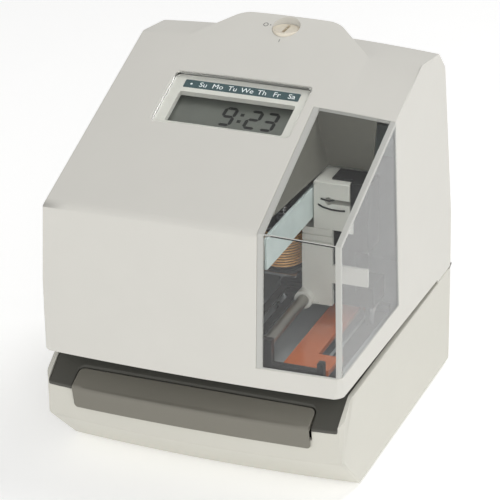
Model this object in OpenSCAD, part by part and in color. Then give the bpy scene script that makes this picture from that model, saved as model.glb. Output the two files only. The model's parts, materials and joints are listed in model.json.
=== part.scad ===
// Electronic time clock: slot for papers between a base and a lift-off cover,
// with a print carriage seen through a clear corner window.
// Depths are measured back from the front datum, the plane of the cover's lower front corners.

/* [Body] */
// Width across the base and the lower edge of the cover
body_w = 160; // [150:1:180]
// Depth over everything, from the print bar to the back
depth = 182; // [176:1:200]
// Wall of the plastic shells
wall = 2.5; // [2:0.1:3]
// Lean of the cover's sides, degrees
side_draft = 1.46; // [0.5:0.02:2]
// Gap around pieces that are glued or dropped in
fit_gap = 0.15; // [0.1:0.05:0.3]
// Gap between pieces that move past each other
run_gap = 0.3; // [0.3:0.05:0.5]
// Radial play of a pin or a shaft in its hole
pin_play = 0.05; // [0.02:0.01:0.1]

/* [Cover] */
// Height of the cover's lower front edge
cover_front_z = 64; // [63.5:0.1:67]
// Height of the cover's lower edge at the back end of the slot
cover_slot_z = 60.6; // [60:0.1:62]
// Height of the seam between cover and base at the back
seam_z = 59; // [58:0.1:60]
// Height where the front turns into the slope
break_z = 143; // [141:1:150]
// How far the front leans back from its foot to the slope
front_lean = 4.8; // [2:0.1:8]
// Angle of the slope, degrees
slope_angle = 21.15; // [19:0.05:23]
// Distance from the back to the shoulder, where the slope turns into the rear deck
shoulder_back = 52.6; // [48:0.1:58]
// Fall of the rear deck towards the back, degrees
deck_fall = 7.9; // [5:0.1:10]
// How much the slope and the deck are crowned across the width
crown = 3; // [2:0.1:4]
// How much the cover's front bows out across the width
cover_bow = 2.5; // [1.5:0.1:3]
// How much the back bows out across the width
back_bow = 1.5; // [0.5:0.1:2.5]
// How far the back leans in from the seam to the deck
back_lean = 12; // [8:0.5:16]
// Length of the bevel between deck and back
back_bevel = 13; // [8:0.5:16]
// Radius of the upright corners of cover and base, seen from above
corner_r = 7; // [4:0.5:9]
// Width of the raised tab where it leaves the shoulder
tab_base_w = 98; // [90:1:104]
// Width of the raised tab at its end
tab_end_w = 50; // [44:1:56]
// Distance from the back to the end of the tab
tab_back = 31.6; // [28:0.1:33]

/* [Window] */
// Width of the window's front, from its left edge to the side of the body
window_w = 43.9; // [42:0.1:44]
// How far the left edge moves in towards the top
window_skew = 2.3; // [0:0.1:4]
// Depth of the window's back edge
window_d = 87; // [84:0.5:90]
// Height of the window's lower edge
window_z = 74.5; // [73:0.5:77]
// Lower edge of the grey lining inside the window
lining_z = 145.6; // [145.2:0.1:147]
// Sheet of the lining
lining_t = 1.2; // [1:0.1:1.6]
// Lean of the lining's left wall, in degrees
lining_lean = 13.2; // [11:0.1:14]
// Turn of the left wall towards the front, in degrees
lining_turn = 3.2; // [2:0.1:4]

/* [Display] */
// Width of the display frame
bezel_w = 74.5; // [70:0.5:78]
// Length of the display frame up the slope
bezel_l = 38.5; // [36:0.5:42]
// Gap between the display frame and the upper end of the window
bezel_gap = 4.8; // [4:0.1:10]
// Distance from the shoulder to the display frame, down the slope
bezel_down = 26.7; // [25:0.1:32]
// Thickness of the display frame
bezel_t = 3; // [2.5:0.1:4]
// Width of the viewing opening
view_w = 62.7; // [58:0.1:66]
// Length of the viewing opening
view_l = 22.2; // [20:0.1:24]
// Height of the viewing opening above the lower edge of the frame
view_up = 3.9; // [3:0.1:5]
// Thickness of the clear lens
lens_t = 2.7; // [2.4:0.1:3]
// Shift of the viewing opening from the middle of the frame
view_shift = 0.3; // [0:0.1:2]
// How deep the lens's face lies under the cover's
bezel_sink = 0.4; // [0.3:0.05:0.6]
// Length of the weekday strip up the slope
strip_l = 5.9; // [5:0.1:7]
// Gap between the viewing opening and the strip
strip_up = 3.1; // [2:0.1:4]
// Thickness of the weekday strip
strip_t = 0.5; // [0.4:0.05:0.8]
// Thickness of the liquid crystal panel
lcd_t = 3; // [2.5:0.1:3.5]
// How far the panel is larger than the opening, all round
lcd_rim = 2.4; // [1.5:0.1:3]
// Depth of the panel's face below the slope's edge line
lcd_drop = 6.5; // [6.4:0.1:8]
// Thickness of circuit boards
board_t = 1.6; // [1.2:0.1:2]

/* [Lock] */
// Distance from the back to the lock's axis
lock_back = 40.5; // [39:0.5:42]
// Radius of the lock's head
lock_head_r = 7.2; // [6.5:0.1:8]
// Radius of the lock's body
lock_body_r = 6; // [5.5:0.1:6.3]
// Radius of the turning plug
plug_r = 4.2; // [3.8:0.1:4.6]
// Radius of the plug's head
plug_head_r = 6.2; // [5.6:0.1:6.2]
// Thickness of the plug's head
plug_head_t = 1.5; // [1.2:0.1:2]
// How deep the lock's face lies under the middle of the tab
lock_sink = 1.05; // [0.6:0.05:2]
// Length of the lock
lock_l = 22.5; // [21:0.1:23]
// Length of the cam from the axis
cam_l = 20; // [16:0.5:22]
// Width of the cam
cam_w = 8; // [6:0.5:10]
// Thickness of the cam
cam_t = 2; // [1.5:0.1:2.5]

/* [Base] */
// Height of the base's front lip
lip_z = 46.5; // [45:0.1:48]
// Height where the front turns into the lower bevel
bevel_z = 25.5; // [22:0.5:28]
// Setback of the top of the bevel
bevel_d = 4; // [3:0.1:6]
// Setback of the foot of the bevel
foot_d = 30; // [26:0.5:33]
// Height of the underside of the base
floor_z = 1.5; // [1.2:0.1:2]
// How much the base's front bows out across the width
base_bow = 2.7; // [2:0.1:3.2]
// How far each side of the base leans in towards the bottom
base_taper = 1; // [0:0.1:2]
// Radius of a rubber foot
foot_r = 7; // [5:0.5:8]

/* [Throat] */
// Height of the paper table
table_z = 57.4; // [57:0.1:57.8]
// Depth where the front ramp meets the table
ramp_d = 16; // [14:0.5:18]
// Distance from the back to the end of the slot for papers
throat_back = 28; // [26:0.5:32]
// Thickness of the table plate
table_t = 2; // [1.6:0.1:2.4]
// Rise of the base's side walls above the table
side_rise = 0.8; // [0.4:0.1:1]
// Height of the slot above the table
throat_h = 5.1; // [4.9:0.1:5.5]
// Thickness of the upper guide plate
guide_t = 1.5; // [1.2:0.1:1.5]

/* [Print bar] */
// Distance from the side of the base to each end of the print bar
bar_end = 16.5; // [15:0.5:21]
// How far the bar stands proud of the base
bar_proud = 1.3; // [1.2:0.1:1.6]
// Height of the bar's lower edge
bar_low_z = 34; // [32:0.5:36]
// Gap around the bar in the base
bar_gap = 0.6; // [0.5:0.1:1]
// Depth of the bar's back edge
bar_back_d = 9.2; // [8:0.1:10]
// Height of the bar's back edge
bar_back_z = 52; // [51:0.1:52.5]
// Distance from each end of the bar to its arm
arm_in = 13.5; // [10:0.5:18]
// Thickness of an arm
arm_t = 4; // [3:0.5:5]
// Depth of the bar's pivot
pivot_d = 36; // [34:0.5:38]
// Height of the bar's pivot
pivot_z = 40; // [39:0.5:41]
// Radius of the pivot pins
pivot_r = 1.5; // [1.2:0.1:1.8]
// Curls of each bar spring
bar_spring_turns = 6; // [4:1:7]

/* [Carriage] */
// Distance from the right side of the body to the guide rod
rod_side = 44; // [43:0.5:45]
// Height of the guide rod
rod_z = 81; // [80:0.5:82]
// Radius of the guide rod
rod_r = 3; // [2.5:0.1:3.2]
// Depth of the carriage's front face
carriage_d = 69; // [66:0.5:72]
// Depth of the carriage from front to back
carriage_l = 21; // [18:0.5:23]
// Width of the white column
column_w = 16; // [14:0.5:16]
// Height of the joint between column and upper block
column_z = 119; // [112:0.5:122]
// Height of the top of the upper block
block_z = 144.3; // [142:0.1:144.5]
// Travel of the carriage towards the front
carriage_travel = 45; // [30:1:46]
// Height of the guide rail
rail_h = 16.5; // [12:0.5:18]
// Radius of the pulleys
pulley_r = 4.5; // [4:0.1:5]
// Height of the pulley axes
pulley_z = 77.5; // [77:0.1:78]
// Width of the belt
belt_w = 4; // [3:0.5:4]
// Thickness of the belt
belt_t = 1.2; // [1:0.1:1.4]

/* [Clamp magnet] */
// Distance from the guide rod to the magnet's axis
magnet_side = 18; // [17.5:0.1:18.5]
// Depth of the magnet's axis
magnet_d = 85; // [82:0.5:88]
// Height of the lower end of the bobbin
bobbin_z = 90; // [90:0.1:91]
// Radius of the layers under the outer winding
core_r = 10; // [9:0.1:10.2]
// Diameter of the copper wire
wire_d = 1; // [0.8:0.05:1]
// Rise of the wire in one turn
wire_pitch = 1.45; // [1.42:0.01:1.6]
// Turns of the outer winding
wire_turns = 11.5; // [8.5:1:11.5]
// Radius of the plunger
plunger_r = 2.5; // [2:0.1:2.8]
// Stroke of the clamp
clamp_stroke = 4.5; // [3:0.1:4.5]

/* [Hidden] */
$fn = 64;
BIG_FN = 720;

// Main lines of the outside, as [depth, height] at the sides of the body
half_w = body_w / 2;
front_y = base_bow + bar_proud - depth / 2;
back_d = depth - base_bow - bar_proud;
shoulder_d = back_d - shoulder_back;
tab_d = back_d - tab_back;
tab_lap = 3;
lock_d = back_d - lock_back;
throat_d = back_d - throat_back;
cover_foot = [0, cover_front_z];
cover_break = [front_lean, break_z];
shoulder = [shoulder_d, break_z + (shoulder_d - front_lean) * tan(slope_angle)];
deck_dir = [cos(deck_fall), -sin(deck_fall)];
back_foot = [back_d - back_bow, seam_z];
back_k = back_lean / (shoulder[1] - seam_z);
back_run = back_foot[0] + back_k * seam_z - shoulder_d;
corner_z = (shoulder[1] - back_run * tan(deck_fall)) / (1 - back_k * tan(deck_fall));
back_corner = [back_foot[0] - back_k * (corner_z - seam_z), corner_z];
bevel_leg = back_bevel / sqrt(2);
back_dir = (back_foot - back_corner) / norm(back_foot - back_corner);
base_back_foot = [back_foot[0] - 3, floor_z];
base_lip = [0, lip_z];
base_bevel = [bevel_d, bevel_z];
base_foot = [foot_d, floor_z];
sky_z = 2 * break_z;
corner_ease = 0.4;
window_x = half_w - window_w;

// Levels of the chassis
floor_in_z = floor_z + wall;
sheet = 1.5;
chassis_z = floor_in_z + sheet;
guide_low_z = table_z + throat_h;
guide_z = guide_low_z + guide_t;
frame_d = throat_d + 8;
guide_half_w = half_w - wall - 3.5;
guide_front_d = 8;

// Ribs of the cover, which rest on the edges of the upper guide
rib_lap = 1.5;
rib_w = 8;
rib_l = 20;
rib_t = 2.2;

// Lock, its cam and the catch that the cam turns under
lock_face_z = break_z + (lock_d - front_lean) * tan(slope_angle) + crown / cos(slope_angle) - lock_sink;
boss_z = lock_face_z - 9.5;
step_z = lock_face_z - 6.5;
nut_h = 3.5;
nut_rim = 4;
cam_top_z = lock_face_z - lock_l - 0.6;
catch_low_z = cam_top_z + 0.5;
catch_w = 14;
catch_h = 10;
catch_x = -cam_l - 4;
keyway_w = 1.6;
keyway_rim = 0.9;
keyway_deep = 4;
plug_seat = 0.1;
frame_top_z = catch_low_z + sheet;

// Display stack, measured square to the slope
slope_l = norm(shoulder - cover_break);
bezel_x = window_x - window_skew - bezel_gap - bezel_w / 2;
bezel_s = slope_l - bezel_down - bezel_l;
lens_gap = 0.1;
frame_top = bow_at(crown, abs(bezel_x) + bezel_w / 2) - bezel_sink - lens_t - lens_gap;
view_x = bezel_x + view_shift;
lcd_w = view_w + 2 * lcd_rim;
lcd_l = view_l + 2 * lcd_rim;
view_s = bezel_s + view_up + view_l / 2;
board_low = -lcd_drop - lcd_t - board_t;
stand_h = 4.4;
shelf_low = board_low - stand_h - sheet;
lining_x = window_x - window_skew - fit_gap - lining_t;
lining_foot_x = window_x + 5.6;
lining_end_x = window_x + 28.7;
shelf_right_x = lining_x - 3 * run_gap;
display_board_w = 2 * (shelf_right_x - view_x) - 1;
display_board_l = lcd_l + 18;
shelf_front_s = view_s - display_board_l / 2 - 2;
shelf_back_s = view_s + display_board_l / 2 + 4;

bezel_corner_r = 2.5;
view_corner_r = 1;
strip_corner_r = 0.6;

// Guide rod, clamp magnet and the side plates of the chassis, the middle one beside the magnet
rod_x = half_w - rod_side;
magnet_x = rod_x - magnet_side;
left_plate_x = 24 - half_w;
middle_plate_x = magnet_x - 16;
plate_front_d = 36;

// Carriage and its drive
rail_x = rod_x + 2.3;
rail_z = block_z - 3.4;
rail_front_d = 7;
block_x = rail_x + sheet + run_gap;
column_x = rod_x - 2;
column_low_z = rod_z - 3;
boss_r = rod_r + 1.8;
boss_l = 4;
rod_room = 9;
head_x = column_x + column_w;
head_w = 10;
head_foot_w = 19;
head_foot_h = 12;
shield_w = 17;
shield_t = 2;
shield_h = 9.5;
shield_up = 13;
block_w = 19;
hood_x = block_x + block_w + fit_gap;
hood_w = 7.5;
hood_l = min(carriage_l - 2, window_d - carriage_d - 1.5);
hood_low_z = column_z - 10;
cap_w = 11;
cap_in = 4;
cap_t = 1;
jaw_d = carriage_d + 3;
jaw_l = carriage_l - 8;
jaw_h = 2.6;
nose_r = 2.5;
nose_root_r = 5;
nose_tip_h = 6;
nose_x = head_x + 14;
nose_d = carriage_d + carriage_l * 0.57;
belt_x = rod_x - rod_room - belt_w;
idler_d = 16;
motor_d = frame_d - 18;
motor_r = 12.5;
shaft_r = 1.5;
belt_in_r = pulley_r + run_gap;
belt_top_z = pulley_z + belt_in_r + belt_t;
bracket_x = belt_x - belt_w / 2 - 3;
motor_x = middle_plate_x + sheet + 1;
collar_r = shaft_r + 2.5;
rim_t = 1;
rim_r = pulley_r + belt_t + 0.8;
hub_r = 3;
hub_l = 3;
stud_half_l = 4;

// Ribbon cassette
cassette_x = rod_x + rod_room;
cassette_w = nose_x - cassette_x - 6;
cassette_d = 12;
cassette_l = 88;
cassette_h = 8.5;
lid_h = 3;
arm_l = 4;
box_l = min(16, nose_d - carriage_travel - nose_root_r - 1 - cassette_d);
ribbon_w = 8;
end_w = nose_x + ribbon_w / 2 + 1 - cassette_x;
ribbon_t = 0.3;
nose_low_z = guide_z + ribbon_t + 2 * run_gap;
knob_x = cassette_x + cassette_w / 2;
knob_d = cassette_d + cassette_l - 10;
knob_r = 5;
knob_h = 2.6;
knob_stem_r = 2;
knob_floor = 1;

// Clamp magnet
winding_r = core_r + fit_gap + wire_d / 2;
flange_t = 1;
wire_bend = 0.8;
winding_h = coil_height(winding_r, wire_pitch, wire_turns, wire_d, wire_bend);
bobbin_h = winding_h + 2 * flange_t;
flange_r = winding_r + wire_d / 2 + 0.3;
yoke_low_z = bobbin_z - sheet;
yoke_top_z = bobbin_z + bobbin_h + sheet;
yoke_half = flange_r + 1;
yoke_x = middle_plate_x + sheet;
pressed_spring_h = 6.5;
cap_z = yoke_top_z + pressed_spring_h + clamp_stroke;
cap_h = 2;
cap_rim = 1.4;
pad_r = 4;
pad_low_z = guide_low_z + 0.2;
pad_h = 4.3;

// Print bar
bar_w = body_w - 2 * bar_end;
arm_x = bar_w / 2 - arm_in;
bar_travel_z = 2.8;
notch_z = bar_low_z + 5;
arm_z = pivot_z - 3.5;
spring_d = 16;
post_z = 24;
post_r = 5;
ear_t = 2.5;
ear_gap = 0.5;
ear_half_l = 4;
hub_arm_r = 3.5;
ridge_z = lip_z + 0.3;
bar_skin = 2.3;
arm_root_z = notch_z + bar_travel_z + 0.5;
arm_front_d = 12;
flag_t = 1.2;
flag_h = 4;
flag_d = pivot_d + 2;
flag_l = 10;
pin_l = arm_t + 2 * ear_gap + 2 * ear_t;
bar_spring_h = arm_z - post_z - 2 * fit_gap;
bar_spring_r = 3.2;
fork_w = 12;
fork_l = 7;
fork_gap = 2.8;
fork_z = pivot_z + 5;

// Throat
stop_z = cover_slot_z - run_gap;
sensor_x = -20;
sensor_d = throat_d - 30;
sensor_w = 8;
sensor_l = 6;
sensor_rim = 3;
platen_w = 8;
platen_h = 5.4;
platen_d = nose_d - carriage_travel - 8;
platen_l = carriage_travel + 16;
support_h = 4;
support_leg = 4;
support_rim = 2;
support_d = foot_d + 5;

// Feet and screws of the base, as [across, depth]
foot_top_z = floor_z + wall / 2;
foot_recess = 0.6;
foot_places = [for (x = [-1, 1] * (half_w - 18), d = [foot_d + 16, back_d - 20]) [x, d]];
base_screw_places = [for (x = [-1, 1] * (half_w - 36), d = [foot_d + 28, frame_d - 8]) [x, d]];
screw_r = 1.5;
screw_head_r = 2.8;
screw_head_h = 1.8;
screw_sink = 1.2;
cross_w = 0.6;
cross_deep = 0.9;
ledge_w = 4;

// Rear frame and front bracket
frame_half_w = half_w - 20;
frame_w = 2 * frame_half_w + 8;
flange_l = 14;
flange_screw_places = [for (x = [10 - frame_half_w, 0, frame_half_w - 6]) [x, frame_d - flange_l / 2]];
bracket_l = 4;
bracket_h = 9.3;
bracket_w = 36.7;
horn_w = 10;
stub_w = 3.2;
stub_h = 13.8;
rod_seat = 1.5;
rail_flange = 12;

// Transformer
core_w = 50;
core_l = 42;
core_h = 40;
core_x = -36;
core_d = frame_d - 74;
core_leg = 7;
core_mid = 15;
core_slot = (core_w - core_mid) / 2 - core_leg;
coil_end = 6;

// Two-pin mains inlet, seated on the inside of the base's back wall
inlet_x = half_w - 34;
inlet_z = 25;
inlet_r = 5.5;
inlet_flange_r = 8;
inlet_bore_r = 4.1;
inlet_pin_r = 1.19;
inlet_pin_gap = 8.5;
inlet_deep = 10;
inlet_start_d = frame_d + sheet + run_gap;
inlet_right_x = inlet_x + inlet_pin_gap / 2 + inlet_flange_r;
inlet_wall_d = base_back(inlet_z - inlet_flange_r) + bow_at(back_bow, inlet_right_x);
inlet_seat_d = inlet_wall_d - wall - fit_gap;
inlet_face_d = base_back(inlet_z - inlet_r) + bow_at(back_bow, inlet_right_x);

// Control board with its standoffs and parts, the parts as [across, back, width, length, height]
main_board_z = guide_z + 8;
main_board_x = left_plate_x + sheet + 2;
main_board_w = middle_plate_x - main_board_x - 2;
main_board_d = plate_front_d + 4;
main_board_l = frame_d - main_board_d - 6;
stand_r = 2.5;
stand_pin_r = 1;
stand_places = [for (x = [main_board_x + 4, main_board_x + main_board_w - 4],
    d = [main_board_d + 5, main_board_d + main_board_l - 5]) [x, d]];
plug_row_d = main_board_l - 16;
board_blocks = [[18, 14, 24, 24, 2.5], [18, 42, 18, 8, 3], [14, 53, 8, 18, 3],
    [10, plug_row_d, main_board_w - 16.5, 6, 9]];
capacitor_x = 8;
capacitor_d = 18;
capacitor_r = 5;
capacitor_h = 16;
capacitor_step = 16;
battery_r = 6;
battery_l = 30;
battery_x = main_board_w - 14.5;
battery_d = plug_row_d - 4 - battery_l;

function bow_at(bow, x) = bow * (1 - pow(x / half_w, 2));
function base_back(z) =
    base_back_foot[0] + (back_foot[0] - base_back_foot[0]) * (z - floor_z) / (seam_z - floor_z);
function ramp_z(d) = lip_z + (table_z - lip_z) * d / ramp_d;
function left_of(v) = [-v[1], v[0]];

// Moves a shape from depths to the part's own frame, whose origin is the middle of its footprint
module datum() { translate([0, front_y, 0]) children(); }

// Extrudes a [depth, height] outline across the width
module across(w, x = 0) {
    translate([x, 0, 0]) rotate([90, 0, 90]) linear_extrude(w, center = true) children();
}

// Extrudes a [width, height] outline along the depth
module along(d, l) { translate([0, d + l, 0]) rotate([90, 0, 0]) linear_extrude(l) children(); }

// A block given by its lowest corner and its size
module block(x, d, z, w, l, h) { translate([x, d, z]) cube([w, l, h]); }

// A round bar along the width, and one along the depth
module bar_x(x, d, z, r, l) { translate([x, d, z]) rotate([0, 90, 0]) cylinder(r = r, h = l); }
module bar_y(x, d, z, r, l) { translate([x, d + l, z]) rotate([90, 0, 0]) cylinder(r = r, h = l); }

// All that lies behind a face that runs from p to q and bows out across the width
module behind_face(p, q, bow, inset = 0) {
    dir = (q - p) / norm(q - p);
    r = (half_w * half_w / bow + bow) / 2;
    mid = (p + q) / 2 + left_of(dir) * (bow - r);
    translate([0, mid[0], mid[1]]) rotate([atan2(-dir[0], dir[1]), 0, 0])
        cylinder(r = r - inset, h = 4 * depth, center = true, $fn = BIG_FN);
}

// Outline from above with round upright corners
module plan_outline(bow, inset) {
    half = half_w - inset;
    r = max(corner_r - inset, 0.5);
    front = inset - bow_at(bow, half_w - corner_r) - corner_ease;
    back = back_foot[0] - inset + bow_at(back_bow, half_w - corner_r) + corner_ease;
    translate([r - half, -depth]) square([2 * (half - r), 3 * depth]);
    translate([-half, front + r]) square([2 * half, back - front - 2 * r]);
    for (side = [-1, 1], d = [front + r, back - r]) translate([side * (half - r), d]) circle(r);
}

// Outline of the raised tab from above
module tab_outline(inset) {
    base = tab_base_w / 2 - inset;
    end = tab_end_w / 2 - inset;
    back = tab_d - inset;
    polygon([[-base, shoulder_d - tab_lap], [base, shoulder_d - tab_lap], [base, shoulder_d], [end, back],
        [-end, back], [-base, shoulder_d]]);
}

// Solid form of the cover, with every face moved in by inset
module cover_form(inset = 0) {
    half = half_w - inset;
    knee_z = seam_z - 2 * wall;
    top_half = half - (sky_z - knee_z) * tan(side_draft);
    bevel_p = back_corner - deck_dir * bevel_leg;
    bevel_q = back_corner + back_dir * bevel_leg;
    intersection() {
        along(-depth, 3 * depth)
            polygon([[-half, 0], [half, 0], [half, knee_z], [top_half, sky_z], [-top_half, sky_z],
                [-half, knee_z]]);
        behind_face(cover_foot, cover_break, cover_bow, inset);
        behind_face(cover_break, shoulder, crown, inset);
        union() {
            behind_face(shoulder, back_corner, crown, inset);
            linear_extrude(sky_z) tab_outline(inset);
        }
        behind_face(bevel_p, bevel_q, crown, inset);
        behind_face(back_corner, back_foot, back_bow, inset);
        linear_extrude(sky_z) plan_outline(cover_bow, inset);
    }
}

// The space under the cover's lower edge
module under_cover() {
    fall = (cover_front_z - cover_slot_z) / throat_d;
    across(2 * body_w)
        polygon([[-depth, -depth], [2 * depth, -depth], [2 * depth, seam_z], [throat_d, seam_z],
            [throat_d, cover_slot_z], [-depth, cover_front_z + fall * depth]]);
}

// The corner that the window fills, drawn in by gap
module window_corner(gap = 0) {
    translate([0, 0, window_z + gap]) linear_extrude(sky_z)
        polygon([[window_x + window_skew * depth / window_d + gap, -depth], [body_w, -depth],
            [body_w, window_d - gap], [window_x - window_skew + gap, window_d - gap]]);
}

// Puts a shape on the slope: x across, y up the slope, z square to it
module on_slope() { translate([0, front_lean, break_z]) rotate([slope_angle, 0, 0]) children(); }

// All between two levels over the slope's edge line
module slope_layer(low, high) {
    on_slope() translate([-body_w, -depth, low]) cube([2 * body_w, 4 * depth, high - low]);
}

// A rectangular column square to the slope, with round corners
module slope_column(x, s, w, l, r) {
    on_slope() translate([x, s, -2 * lcd_drop]) linear_extrude(4 * lcd_drop) {
        square([w - 2 * r, l], center = true);
        square([w, l - 2 * r], center = true);
        for (i = [-1, 1], j = [-1, 1]) translate([i * (w / 2 - r), j * (l / 2 - r)]) circle(r);
    }
}

module bezel_column(gap) {
    slope_column(bezel_x, bezel_s + bezel_l / 2, bezel_w - 2 * gap, bezel_l - 2 * gap, bezel_corner_r);
}
module view_column(gap) { slope_column(view_x, view_s, view_w - 2 * gap, view_l - 2 * gap, view_corner_r); }
module strip_column(gap) {
    slope_column(view_x, view_s + view_l / 2 + strip_up + strip_l / 2, view_w - 2 * gap,
        strip_l - 2 * gap, strip_corner_r);
}

// The space above the paper table, raised by rise
module above_table(w, rise) {
    across(w)
        polygon([[-depth, ramp_z(-depth) + rise], [ramp_d, table_z + rise], [throat_d, table_z + rise],
            [throat_d, sky_z], [-depth, sky_z]]);
}

// Solid form of the base, with every face but the top moved in by inset
module base_form(inset = 0) {
    top = half_w - inset;
    low = top - base_taper;
    intersection() {
        along(-depth, 3 * depth)
            polygon([[-low, floor_z + inset], [low, floor_z + inset], [top, table_z],
                [top, seam_z - run_gap], [-top, seam_z - run_gap], [-top, table_z]]);
        behind_face(base_bevel, base_lip, base_bow, inset);
        behind_face(base_foot, base_bevel, base_bow, inset);
        behind_face(back_foot, base_back_foot, back_bow, inset);
        linear_extrude(sky_z) plan_outline(base_bow, inset);
    }
}

// Base and throat

module base_housing() color("whitesmoke") datum() {
    difference() {
        base_form();
        difference() {
            base_form(wall);
            base_inner_posts();
        }
        above_table(2 * body_w, side_rise);
        above_table(2 * (half_w - wall), -table_t);
        block(-bar_w / 2 - bar_gap, -depth, notch_z, bar_w + 2 * bar_gap, depth + foot_d / 2, depth);
        for (p = foot_places) translate([p[0], p[1], 0]) cylinder(r = foot_r + fit_gap, h = foot_top_z);
        for (p = base_screw_places) translate([p[0], p[1], 0]) {
            cylinder(r = screw_head_r + fit_gap, h = floor_z + screw_sink);
            cylinder(r = screw_r + pin_play, h = chassis_z);
        }
        along(inlet_seat_d, 4 * wall) inlet_outline(inlet_r + fit_gap);
        for (x = [-arm_x, arm_x]) bar_x(x - pin_l, pivot_d, pivot_z, pivot_r + pin_play, 2 * pin_l);
    }
}

// Ledges under the table, ears for the bar's pins and posts for its springs
module base_inner_posts() {
    for (side = [-1, 1])
        block(side * (half_w - wall) - ledge_w, ramp_d + 4, table_z - table_t - ledge_w, 2 * ledge_w,
            throat_d - ramp_d - 10, ledge_w);
    for (x = [-arm_x, arm_x], side = [-1, 1])
        block(x + side * (arm_t + ear_t + 2 * ear_gap) / 2 - ear_t / 2, pivot_d - ear_half_l, 0, ear_t,
            2 * ear_half_l, pivot_z + ear_half_l);
    for (x = [-arm_x, arm_x]) translate([x, spring_d, 0]) cylinder(r = post_r, h = post_z);
}

module rubber_feet() color("dimgray") datum()
    for (p = foot_places) translate([p[0], p[1], 0]) difference() {
        cylinder(r = foot_r, h = foot_top_z);
        translate([0, 0, -foot_recess]) cylinder(r = foot_r / 3, h = 2 * foot_recess);
    }

// Cross recess of a screw head, cut from z upwards
module cross_recess(z) {
    for (turn = [0, 90]) rotate([0, 0, turn])
        block(-screw_r, -cross_w / 2, z, 2 * screw_r, cross_w, 2 * cross_deep);
}

module base_screws() color("silver") datum()
    for (p = base_screw_places) translate([p[0], p[1], floor_z]) difference() {
        union() {
            translate([0, 0, fit_gap]) cylinder(r = screw_head_r, h = screw_sink - fit_gap);
            translate([0, 0, fit_gap]) cylinder(r = screw_r, h = chassis_z + 2 - floor_z);
        }
        cross_recess(-cross_deep);
    }

module chassis_base() color("lightsteelblue") datum() difference() {
    block(2 - guide_half_w, foot_d + 4, floor_in_z, 2 * guide_half_w - 4, back_d - foot_d - 16, sheet);
    for (p = concat(base_screw_places, flange_screw_places))
        translate([p[0], p[1], 0]) cylinder(r = screw_r + pin_play, h = 2 * chassis_z);
    for (x = [-arm_x, arm_x])
        block(x - 3 * arm_t, 0, 0, 6 * arm_t, pivot_d + ear_half_l + fit_gap, depth);
}

module throat_plate() color("dimgray") datum() difference() {
    intersection() {
        across(2 * (half_w - wall - fit_gap))
            polygon([[-foot_d, ramp_z(-foot_d) - table_t], [ramp_d, table_z - table_t],
                [throat_d, table_z - table_t], [throat_d, stop_z], [throat_d - sheet, stop_z],
                [throat_d - sheet, table_z], [ramp_d, table_z], [-foot_d, ramp_z(-foot_d)]]);
        behind_face(base_bevel, base_lip, base_bow);
    }
    block(-bar_w / 2 - bar_gap, -depth, 0, bar_w + 2 * bar_gap, depth + bar_back_d + bar_gap, depth);
    block(nose_x - platen_w / 2, platen_d, 0, platen_w, platen_l, depth);
    block(sensor_x - sensor_w / 2, sensor_d - sensor_l / 2, 0, sensor_w, sensor_l, depth);
}

// Optical sensor that feels the paper at the end of the slot
module card_sensor() color("black") datum() translate([sensor_x, sensor_d, table_z]) {
    block(fit_gap - sensor_w / 2, fit_gap - sensor_l / 2, -table_t, sensor_w - 2 * fit_gap,
        sensor_l - 2 * fit_gap, table_t - fit_gap);
    block(-sensor_w / 2 - sensor_rim, -sensor_l / 2 - sensor_rim, -table_t - sensor_rim,
        sensor_w + 2 * sensor_rim, sensor_l + 2 * sensor_rim, sensor_rim);
}

module platen() color("black") datum()
    block(nose_x - platen_w / 2 + fit_gap, platen_d + fit_gap, table_z - platen_h, platen_w - 2 * fit_gap,
        platen_l - 2 * fit_gap, platen_h);

// Angle that stands on the chassis, with the platen on its upper leg
module platen_support() color("silver") datum() {
    left_x = nose_x - platen_w / 2 - support_rim;
    low_z = table_z - platen_h - support_h;
    end_d = platen_d + platen_l + support_rim;
    block(left_x, platen_d - support_rim, low_z, platen_w + support_rim, platen_l + 2 * support_rim,
        support_h);
    block(left_x, support_d, chassis_z, support_leg, end_d - support_d, low_z - chassis_z);
}

// Chassis

module rear_frame() color("lightsteelblue") datum() difference() {
    union() {
        block(-frame_half_w, frame_d, chassis_z, frame_w, sheet, frame_top_z - chassis_z);
        block(-frame_half_w, frame_d - flange_l, chassis_z, frame_w, flange_l + sheet, sheet);
    }
    bar_y(rod_x, frame_d - 1, rod_z, rod_r + pin_play, sheet + 2);
    for (p = flange_screw_places)
        translate([p[0], p[1], 0]) cylinder(r = screw_r + pin_play, h = 2 * chassis_z);
    for (p = base_screw_places)
        translate([p[0], p[1], 0]) cylinder(r = 2 * screw_r, h = chassis_z + sheet + 1);
}

module frame_screws() color("silver") datum()
    for (p = flange_screw_places) translate([p[0], p[1], floor_in_z + fit_gap]) {
        cylinder(r = screw_r, h = 2 * sheet - fit_gap);
        translate([0, 0, 2 * sheet - fit_gap]) difference() {
            cylinder(r = screw_head_r, h = screw_head_h);
            cross_recess(screw_head_h - cross_deep);
        }
    }

module upper_guide() color("slategray") datum() difference() {
    block(-guide_half_w, guide_front_d, guide_low_z, 2 * guide_half_w, frame_d - guide_front_d, guide_t);
    block(nose_x - nose_r - 1, nose_d - carriage_travel - 4, 0, 2 * nose_r + 2, carriage_travel + 8, depth);
    translate([magnet_x, magnet_d, 0]) cylinder(r = pad_r + 1, h = depth);
}

// A side plate of the chassis, cut off below the display shelf
module side_plate(x) datum() intersection() {
    block(x, plate_front_d, guide_z, sheet, frame_d - plate_front_d, frame_top_z - 6 - guide_z);
    slope_layer(shelf_low - 2 * depth, shelf_low);
}
module left_plate() color("lightsteelblue") side_plate(left_plate_x);
module middle_plate() color("lightsteelblue") side_plate(middle_plate_x);

module guide_rail() color("lightblue") datum() {
    block(rail_x, rail_front_d, rail_z - rail_h, sheet, frame_d - rail_front_d, rail_h);
    block(rail_x, frame_d - sheet, rail_z - rail_h, rail_flange, sheet, rail_h);
}

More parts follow.
